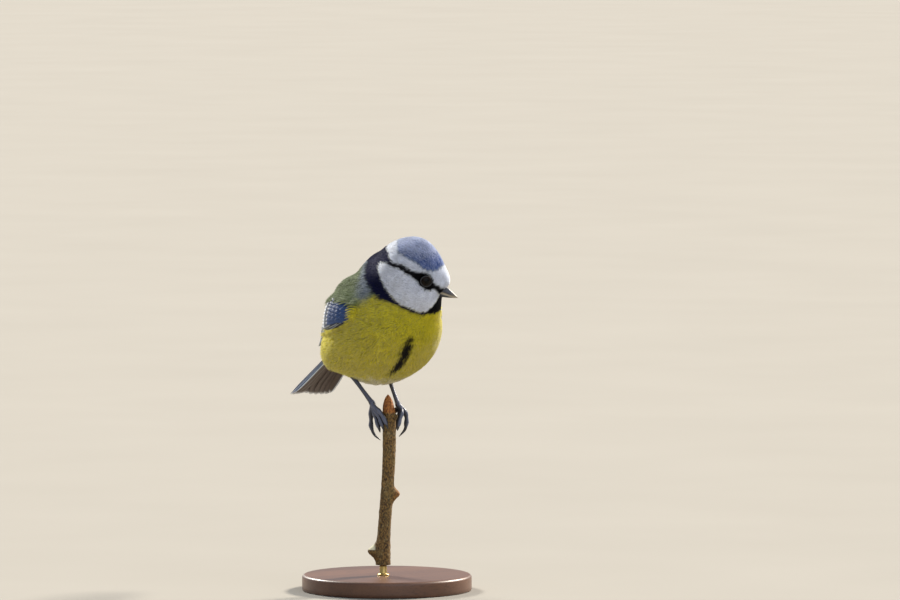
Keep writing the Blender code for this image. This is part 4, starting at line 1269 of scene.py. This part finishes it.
def makeMandible(name, upper):
    rings, sides = 44, 30
    length = bill["tip"] - bill["root"] - (0.0 if upper else 0.7)
    points, edge, tipShare, dark = [], [], [], []
    for i in range(rings + 1):
        u = 1 - (1 - i / rings) ** 1.35
        taper = (1 - u ** 1.55) if upper else (1 - u ** 1.9)
        half = max(0.09, bill["halfWidth"] * taper)
        deep = max(0.12, (bill["upperDeep"] if upper else bill["lowerDeep"]) * taper)
        line = bill["gape"] + (bill["gap"] / 2 if upper else -bill["gap"] / 2) - 0.25 * u * u
        for k in range(sides):
            angle = tau * k / sides
            c, s = math.cos(angle), math.sin(angle)
            rise = deep * max(s, 0.0) ** 0.8 if s > 0 else 0.10 * s * taper
            ridgeUp = 0.16 * taper * math.exp(-((angle - math.pi / 2) / 0.22) ** 2) if upper else 0.0
            across = half * math.copysign(abs(c) ** (0.92 if upper else 0.85), c)
            nostril = 0.0
            # the nostril is only a shallow dent; its dark opening is painted shade, laid on by the horn material
            if upper:
                nearby = ((bill["root"] + length * u - 14.9) / 0.55) ** 2 + ((rise - 1.75) / 0.30) ** 2
                nostril = math.exp(-nearby) if s > 0 else 0.0
            across *= 1 - 0.22 * nostril
            height = line + ((rise + ridgeUp) if upper else -rise)
            points.append(fromHead((across, -(bill["root"] + length * u), height)))
            edge.append(max(0.0, 1 - abs(rise) / (0.34 + 0.12 * u)) if s > -0.2 else 0.6)
            tipShare.append(u)
            dark.append(nostril)
    faces = ringFaces(rings + 1, sides)
    faces += [list(range(sides)), [rings * sides + k for k in range(sides)]]
    made = meshObject(name, points, faces, dict(edge=edge, tipShare=tipShare, nostril=dark))
    faceOutward(made)
    return made


def polishedHorn():
    # bill horn: dark slate keratin, polished by use and thinner at cutting edges and tip; their light colour there
    # is partly the horn's own and partly a painted highlight
    polish = dict(Roughness=0.32, Coat_Weight=0.25, Coat_Roughness=0.2)
    material, tree, shader = newMaterial("polishedBillHorn", **polish)
    shader.inputs["IOR"].default_value = 1.55
    place = objectPlace(tree)
    grain = noise(tree, place, 1500.0, 3.0)
    colour = mixColours(tree, grain, linear("#23252d"), linear("#3d414c"))
    # light cutting edges and tip: partly the horn's own colour, partly a painted highlight
    edge = spread(tree, readMark(tree, "edge"), 0.2, 0.9, last=0.85)
    colour = mixColours(tree, edge, colour, linear("#cdbf9f"))
    tip = spread(tree, readMark(tree, "tipShare"), 0.62, 1.0, last=0.6)
    colour = mixColours(tree, tip, colour, linear("#b9a888"))
    # nostril: painted near-black as the shade of its opening, over a shallow dent
    colour = mixColours(tree, readMark(tree, "nostril"), colour, linear("#050506"))
    tree.links.new(colour, shader.inputs["Base Color"])
    roughen(tree, shader, grain, 0.15)
    return material


def makeBristles():
    # stiff hair-like feathers that fan over the nostrils and the corners of the mouth
    draw = np.random.default_rng(71)
    points, faces = [], []
    for side in (-1, 1):
        for k in range(34):
            around = math.radians(-28 + 116 * k / 33 + draw.uniform(-3, 3))
            start = np.array([side * 2.45 * math.cos(around), -12.6 - 0.5 * draw.random(),
                              -1.5 + 2.9 * math.sin(around)])
            reach = draw.uniform(1.5, 2.8)
            lean = np.array([side * 0.34 * math.cos(around), -1.0, 0.20 * math.sin(around) - 0.12])
            lean = unit(lean + draw.normal(0, 0.07, 3))
            end = start + lean * reach - np.array([side * 0.12, 0, 0.1])
            knots = [start, start + lean * reach * 0.5 + (0, 0, 0.05), end]
            count = len(points)
            cross = unit(np.cross(lean, (0.0, 0.0, 1.0)))
            lift = np.cross(cross, lean)
            for knot, radius in zip(knots, (0.075, 0.055, 0.012)):
                for j in range(4):
                    spin = tau * j / 4
                    points.append(fromHead(knot + radius * (math.cos(spin) * cross + math.sin(spin) * lift)))
            faces += ringFaces(3, 4, count)
            faces += [[count + j for j in range(4)], [count + 8 + j for j in range(4)]]
    made = meshObject("billBristles", points, faces)
    faceOutward(made)
    return made


horn = polishedHorn()
handOver(makeMandible("billUpperHorn", True), horn, "bill_horn", "bill_upper")
handOver(makeMandible("billLowerHorn", False), horn, "bill_horn", "bill_lower")
handOver(makeBristles(), bareSkin("stiffBristle", "#0a0a0d", "#1a1a20", 2000.0, 0.6), "crown_plumage")
print("bill set")


# Twig: a cut shoot with bark ridges, pale lenticels, a side bud, an old stub and a scaled end bud

twig = dict(
    foot=10.0, top=74.3, perch=(-0.9, -2.3), lean=(-1.8, -0.9),
    stem=((10.0, 2.75), (24.0, 2.35), (40.0, 2.3), (56.0, 2.45), (66.0, 2.5), (68.0, 2.35), (70.2, 1.97),
          (71.8, 1.5), (73.2, 0.85), (74.3, 0.12)),
    lumps=((36.6, 62, 2.6, 2.2, 34), (15.2, -122, 3.3, 2.4, 36), (65.8, 48, 0.9, 0.9, 40)),
)


def twigAxis(z):
    share = (twig["top"] - z) / (twig["top"] - twig["foot"])
    sway = 0.75 * math.sin(share * 5.0)
    x, y = (perch + lean * share for perch, lean in zip(twig["perch"], twig["lean"]))
    return (x + sway, y - 0.4 * sway)


def roundTwig(angle, radius, z):
    # the angle turns from the bird's front to its left
    x, y = twigAxis(z)
    a = math.radians(angle)
    return (x + radius * math.sin(a), y - radius * math.cos(a), z)


def twigRadius(z, angle):
    stem = np.interp(z, *zip(*twig["stem"]))
    for height, way, out, tall, wide in twig["lumps"]:
        off = (angle - way + 180) % 360 - 180
        stem += out * math.exp(-((z - height) / tall) ** 2 - (off / wide) ** 2)
    return max(stem, 0.12)


def makeTwig():
    sides = 84
    heights = np.concatenate([np.linspace(twig["foot"], 64.0, 260), np.linspace(64.2, 74.0, 90)])
    draw = np.random.default_rng(11)
    spots = [[draw.uniform(*ends) for ends in ((11, 65), (0, 360), (0.18, 0.42), (4, 9))] for _ in range(110)]
    scales = [(68.0 + 1.15 * k, 137.5 * k, 62 - 4 * k) for k in range(5)]
    points, budMark, pale, cut = [], [], [], []
    for z in heights:
        x, y = twigAxis(z)
        for k in range(sides):
            angle = 360 * k / sides
            a = math.radians(angle)
            r = twigRadius(z, angle)
            bud = float(ease(z, 66.6, 68.2))
            face = 0.0
            for number, (height, way, out, tall, wide) in enumerate(twig["lumps"][:2]):
                off = (angle - way + 180) % 360 - 180
                share = math.exp(-((z - height) / tall) ** 2 - (off / wide * 1.1) ** 2)
                if number == 0:
                    bud = max(bud, 0.75 * share)
                elif z > height + 0.5:
                    face = float(ease(share, 0.2, 0.4))
            fibre = 0.045 * math.sin(angle * 0.35 + 2.2 * math.sin(z * 0.21))
            fibre += 0.03 * math.sin(angle * 0.62 + z * 0.5)
            lens = 0.0
            for height, way, tall, wide in spots:
                if abs(z - height) < tall * 2.2:
                    off = (angle - way + 180) % 360 - 180
                    lens = max(lens, math.exp(-((z - height) / tall) ** 2 - (off / wide) ** 2))
            scale = 0.0
            for height, way, wide in scales:  # bud scales: overlapping shields with raised edges
                off = abs((angle - way + 180) % 360 - 180) / wide
                edge = height + 2.6 * (1 - min(off, 1.0) ** 2)
                if off < 1 and z < edge and z > height - 1.5:
                    scale = max(scale, 0.16 * (1 - (edge - z) / 4.5))
            r += (fibre + 0.10 * lens) * (1 - bud) + scale * ease(z, 66.8, 68.4) * ease(z, 74.0, 72.6)
            r += 0.16 * math.exp(-((z - 66.4) / 0.30) ** 2)  # the scar ring under the bud
            points.append((x + r * math.sin(a), y - r * math.cos(a), z))
            budMark.append(bud)
            pale.append(lens * (1 - bud))
            cut.append(face)
    rows = len(heights)
    faces = ringFaces(rows, sides)
    for row, z in ((0, twig["foot"]), (rows - 1, 74.25)):
        points.append((*twigAxis(z), z))
        budMark.append(float(row > 0))
        pale.append(0.0)
        cut.append(float(row == 0))
        for k in range(sides):
            faces.append((len(points) - 1, row * sides + k, row * sides + (k + 1) % sides))
    points = np.array(points)
    rough = mottle(points * (1, 1, 0.35), 1.1, 31) * 0.05 + mottle(points, 0.45, 32) * 0.018
    outward = unit(points - np.array([(*twigAxis(z), z) for z in points[:, 2]]) + 1e-9)
    points = points + outward * (rough * (1 - 0.7 * np.array(budMark)))[:, None]
    made = meshObject("twigBark", points, faces, dict(budMark=budMark, lenticel=pale, cutWood=cut))
    faceOutward(made)
    return made


def youngBark():
    # smooth young bark: dull olive brown, finely specked, with corky lenticels and a waxy reddish bud
    material, tree, shader = newMaterial("youngTwigBark", Roughness=0.78)
    place = objectPlace(tree)
    drawn = addNode(tree, "ShaderNodeMapping", {"Vector": place, "Scale": (1.0, 1.0, 0.45)}).outputs[0]
    streak = noise(tree, drawn, 2600.0, 4.0)
    patch = noise(tree, place, 260.0, 3.0)
    grit = noise(tree, place, 4200.0)
    sharp = spread(tree, streak, 0.40, 0.62)
    colour = mixColours(tree, sharp, linear("#33210c"), linear("#8a6a35"))
    mossy = spread(tree, patch, 0.45, 0.7, last=0.35)
    colour = mixColours(tree, mossy, colour, linear("#6b6138"))
    colour = mixColours(tree, readMark(tree, "lenticel"), colour, linear("#8f7c52"))
    bud = mixColours(tree, sharp, linear("#6e3a13"), linear("#b47331"))
    colour = mixColours(tree, readMark(tree, "budMark"), colour, bud)
    colour = mixColours(tree, readMark(tree, "cutWood"), colour, linear("#e2dcb8"))
    tree.links.new(colour, shader.inputs["Base Color"])
    roughen(tree, shader, grit, 0.5, 0.00012)
    return material


handOver(makeTwig(), youngBark(), "bark", "twig")
print("twig grown")


# Legs and feet: scaled shanks, jointed toes with pads, and polished claws

feet = {
    "right": {
        "ankle": (-116, 5.9, 70.6),
        "toes": [
            (0.74, (-99, 5.4, 69.4), (-78, 4.5, 67.6), (-58, 4.0, 65.2), (-44, 3.85, 62.8),
             (-36, 3.8, 61.0), (-29, 3.5, 59.4)),
            (0.74, (-107, 5.6, 69.0), (-93, 4.8, 66.9), (-81, 4.2, 64.6), (-70, 3.9, 62.2),
             (-62, 3.8, 60.3), (-55, 3.5, 58.7)),
            (0.74, (-116, 5.8, 68.6), (-112, 5.2, 66.2), (-105, 4.7, 63.9), (-97, 4.2, 61.6),
             (-91, 3.9, 59.7), (-85, 3.5, 58.1)),
            (0.66, (-125, 6.6, 68.3), (-131, 6.8, 65.9), (-136, 7.0, 63.6), (-137, 7.0, 61.8),
             (-130, 5.7, 59.0), (-122, 3.3, 56.9)),
        ],
    },
    "left": {
        "ankle": (64, 3.8, 69.9),
        "toes": [
            (0.72, (57, 4.7, 68.6), (44, 4.8, 66.8), (32, 4.4, 64.6), (24, 4.05, 62.2),
             (19, 3.9, 60.4), (14, 3.5, 58.9)),
            (0.66, (62, 5.3, 68.7), (62, 6.3, 66.9), (61, 6.6, 64.9), (60, 6.4, 63.0),
             (60, 5.8, 60.8), (60, 3.6, 58.2)),
            (0.72, (80, 5.0, 68.5), (92, 4.7, 66.4), (100, 4.3, 64.2), (106, 4.0, 62.0),
             (110, 3.9, 60.2), (113, 3.5, 58.6)),
            (0.70, (96, 4.6, 68.9), (122, 4.4, 67.2), (142, 4.1, 65.2), (154, 4.0, 63.0),
             (162, 3.9, 61.0), (168, 3.5, 59.2)),
        ],
    },
}
legs = dict(tops={"right": (-9.0, 12.6, 82.2), "left": (7.6, 13.0, 81.8)}, toe=0.88)


def limb(path, radii, sides=20, flat=1.0, front=None, scute=0.0, pitch=1.0):
    # a closed tube; scutes are overlapping plates, raised at their lower edge, on the side that faces front
    path, radii = np.asarray(path, float), np.asarray(radii, float)
    tangents = unit(np.gradient(path, axis=0))
    front = unit(np.array([0.0, -1.0, 0.3]) if front is None else np.asarray(front, float))
    run = np.concatenate([[0], np.cumsum(np.linalg.norm(np.diff(path, axis=0), axis=1))])
    points, plate, crown = [], [], []
    side = unit(np.cross(tangents[0], front))
    for row, (point, tangent, radius) in enumerate(zip(path, tangents, radii)):
        side = unit(side - tangent * np.dot(side, tangent))
        ahead = np.cross(side, tangent)
        phase = (run[row] / pitch) % 1.0
        step = phase ** 2.0
        for k in range(sides):
            spin = tau * k / sides
            facing = max(0.0, math.cos(spin)) ** 0.7
            swell = 1 + scute * step * (0.35 + 0.65 * facing)
            points.append(point + radius * swell * (math.cos(spin) * ahead + flat * math.sin(spin) * side))
            # plate and crown are masks for the leg skin's painted shade: low plate darkens each scute's raised
            # edge and the sides, low crown the sides
            plate.append((1 - step) * (0.3 + 0.7 * facing))
            crown.append(facing)
    rings = len(path)
    faces = ringFaces(rings, sides)
    for ring in (0, rings - 1):
        points.append(path[ring])
        plate.append(0.5)
        crown.append(0.5)
        for k in range(sides):
            faces.append((len(points) - 1, ring * sides + k, ring * sides + (k + 1) % sides))
    marks = dict(plate=np.array(plate), crown=np.array(crown))
    return dict(points=np.array(points), faces=faces, marks=marks)


def joinLimbs(name, parts):
    points, faces, count = [], [], 0
    for part in parts:
        points.append(part["points"])
        faces += [tuple(k + count for k in face) for face in part["faces"]]
        count += len(part["points"])
    marks = {key: np.concatenate([part["marks"][key] for part in parts]) for key in ("plate", "crown")}
    made = meshObject(name, np.concatenate(points), faces, marks)
    faceOutward(made)
    return made


def makeFoot(side):
    plan = feet[side]
    ankle = np.array(roundTwig(*plan["ankle"]))
    top = np.array(legs["tops"][side])
    shin = unit(top - ankle)
    heel = smoothCurve([ankle - shin * 0.9, ankle - shin * 0.2, ankle + shin * 1.2, ankle + shin * 2.3], 26)
    girth = np.interp(np.linspace(0, 1, 26), (0, 0.12, 0.4, 0.7, 1), (0.35, 0.85, 1.18, 1.05, 0.84))
    parts = [limb(heel, girth, 24, scute=0.07, pitch=0.8)]
    claws = []
    for share, *places in plan["toes"]:
        path = smoothCurve([tuple(ankle)] + [roundTwig(*place) for place in places], 121)
        if share > 0.66:  # claws held tight against the bark
            path = smoothCurve(path[:108:6], 121)
            share = 0.84
        split = int(120 * share)
        rows = np.round(np.linspace(0, split + 3, 76)).astype(int)
        along = np.linspace(0, 1, 76)
        radii = legs["toe"] * (1.06 - 0.20 * along) * (1 + 0.13 * np.cos(along * tau * 2.5))
        radii[-6:] *= np.linspace(1.0, 0.62, 6)
        outward = unit(path[40] - np.array([*twigAxis(path[40][2]), path[40][2]]))
        parts.append(limb(path[rows], radii, 18, front=outward, scute=0.10, pitch=0.62))
        rows = np.arange(split - 3, 121)
        along = np.linspace(0, 1, len(rows))
        claws.append(limb(path[rows], 0.56 * (1 - along ** 1.5) ** 0.8 + 0.05, 16, flat=0.72, front=outward))
    word = side.capitalize()
    return joinLimbs("foot" + word, parts), joinLimbs("claws" + word, claws), ankle, shin, top


def makeLeg(side, ankle, shin, top):
    start = ankle + shin * 1.9
    along = np.linspace(0, 1, 150)
    path = start + (top - start) * along[:, None]
    radii = 0.72 + 0.22 * (2 * along - 1) ** 2 + 0.25 * along ** 3
    return joinLimbs("shank" + side.capitalize(), [limb(path, radii, 24, scute=0.09, pitch=1.05)])


def scaledSkin():
    # leg skin: slate blue horny plates with a fine grain; painted shade darkens each plate towards its raised edge
    # and the sides turned away from the front, so the front ridge reads lighter
    material, tree, shader = newMaterial("scutedLegSkin", Roughness=0.36)
    place = objectPlace(tree)
    grain = noise(tree, place, 2200.0, 4.0)
    base = mixColours(tree, grain, linear("#343745"), linear("#70768c"))
    # painted shade at each plate's raised edge and towards the sides
    plate = spread(tree, readMark(tree, "plate"), 0.0, 0.35, 0.75, 0.0)
    colour = mixColours(tree, plate, base, linear("#23252e"))
    # painted shade on the sides of each toe and shank, away from the front
    paintedSideShade = spread(tree, readMark(tree, "crown"), 0.15, 0.75, 0.85, 0.0)
    colour = mixColours(tree, paintedSideShade, colour, linear("#14141a"))
    tree.links.new(colour, shader.inputs["Base Color"])
    roughen(tree, shader, grain, 0.3, 0.00008)
    return material


legSkin = scaledSkin()
clawHorn = bareSkin("polishedClawHorn", "#1d1b1e", "#3a3636", 1800.0, 0.3)
for side in ("left", "right"):
    foot, claws, ankle, shin, top = makeFoot(side)
    handOver(foot, legSkin, "leg_skin", "foot_" + side)
    handOver(claws, clawHorn, "claw_horn", *(f"claw_{side}_{k}" for k in (1, 2, 3, 4)))
    handOver(makeLeg(side, ankle, shin, top), legSkin, "leg_skin", "leg_" + side)
print("legs and feet made")


# Stand: a turned walnut disc and a brass rod

stand = dict(radius=32.0, height=6.0, edge=1.2, rod=1.4, low=6.0, high=9.7)


def turned(name, profile, sides, centre=(0.0, 0.0)):
    points = []
    for radius, height in profile:
        for k in range(sides):
            angle = tau * k / sides
            x, y = centre[0] + radius * math.cos(angle), centre[1] + radius * math.sin(angle)
            points.append((x, y, height))
    faces = ringFaces(len(profile), sides)
    for ring in (0, len(profile) - 1):
        points.append((*centre, profile[ring][1]))
        for k in range(sides):
            faces.append((len(points) - 1, ring * sides + k, ring * sides + (k + 1) % sides))
    made = meshObject(name, points, faces)
    faceOutward(made)
    return made


def makeBase():
    r, h, e = stand["radius"], stand["height"], stand["edge"]
    profile = [(r - 0.6, 0.0), (r - 0.2, 0.12), (r, 0.5)]
    profile += [(r, 0.5 + (h - e - 0.5) * k / 4) for k in range(1, 5)]
    for k in range(1, 9):  # rounded upper edge
        a = math.pi / 2 * k / 8
        profile.append((r - e + e * math.cos(a), h - e + e * math.sin(a)))
    profile += [(r - e - 0.5, h), (r - 5.0, h), (r * 0.5, h), (3.0, h)]
    return turned("standDisc", profile, 160)


def makeRod():
    r, low, high = stand["rod"], stand["low"], stand["high"]
    profile = [(r + 0.9, low), (r + 0.9, low + 0.35), (r + 0.6, low + 0.6), (r + 0.08, low + 0.75)]
    profile += [(r, low + 0.9), (r, high - 0.4), (r - 0.05, high)]
    return turned("standRod", profile, 64, twigAxis(twig["foot"]))


def oiledWalnut():
    # turned walnut under oil: chocolate heartwood, straight pores and slow colour bands
    material, tree, shader = newMaterial("oiledWalnut", Roughness=0.42, Coat_Weight=0.2, Coat_Roughness=0.3)
    place = objectPlace(tree)
    drawn = addNode(tree, "ShaderNodeMapping", {"Vector": place, "Scale": (0.08, 1.0, 1.0)}).outputs[0]
    warp = noise(tree, drawn, 90.0, 3.0)
    fibre = noise(tree, drawn, 2600.0, 4.0)
    colour = mixColours(tree, warp, linear("#3d2417"), linear("#7a5238"))
    pore = spread(tree, fibre, 0.52, 0.70, last=0.45)
    colour = mixColours(tree, pore, colour, linear("#25150d"))
    tree.links.new(colour, shader.inputs["Base Color"])
    roughen(tree, shader, fibre, 0.2)
    return material


def brushedBrass():
    # drawn brass rod: warm, softly reflecting, with a little tarnish
    material, tree, shader = newMaterial("drawnBrass", Metallic=1.0)
    place = objectPlace(tree)
    stain = noise(tree, place, 700.0, 3.0)
    colour = mixColours(tree, stain, linear("#b08d4a"), linear("#d9bd76"))
    tree.links.new(colour, shader.inputs["Base Color"])
    rough = spread(tree, stain, first=0.22, last=0.42)
    tree.links.new(rough, shader.inputs["Roughness"])
    return material


handOver(makeBase(), oiledWalnut(), "stand_wood", "stand_base")
handOver(makeRod(), brushedBrass(), "stand_metal", "stand_rod")
print("stand turned")
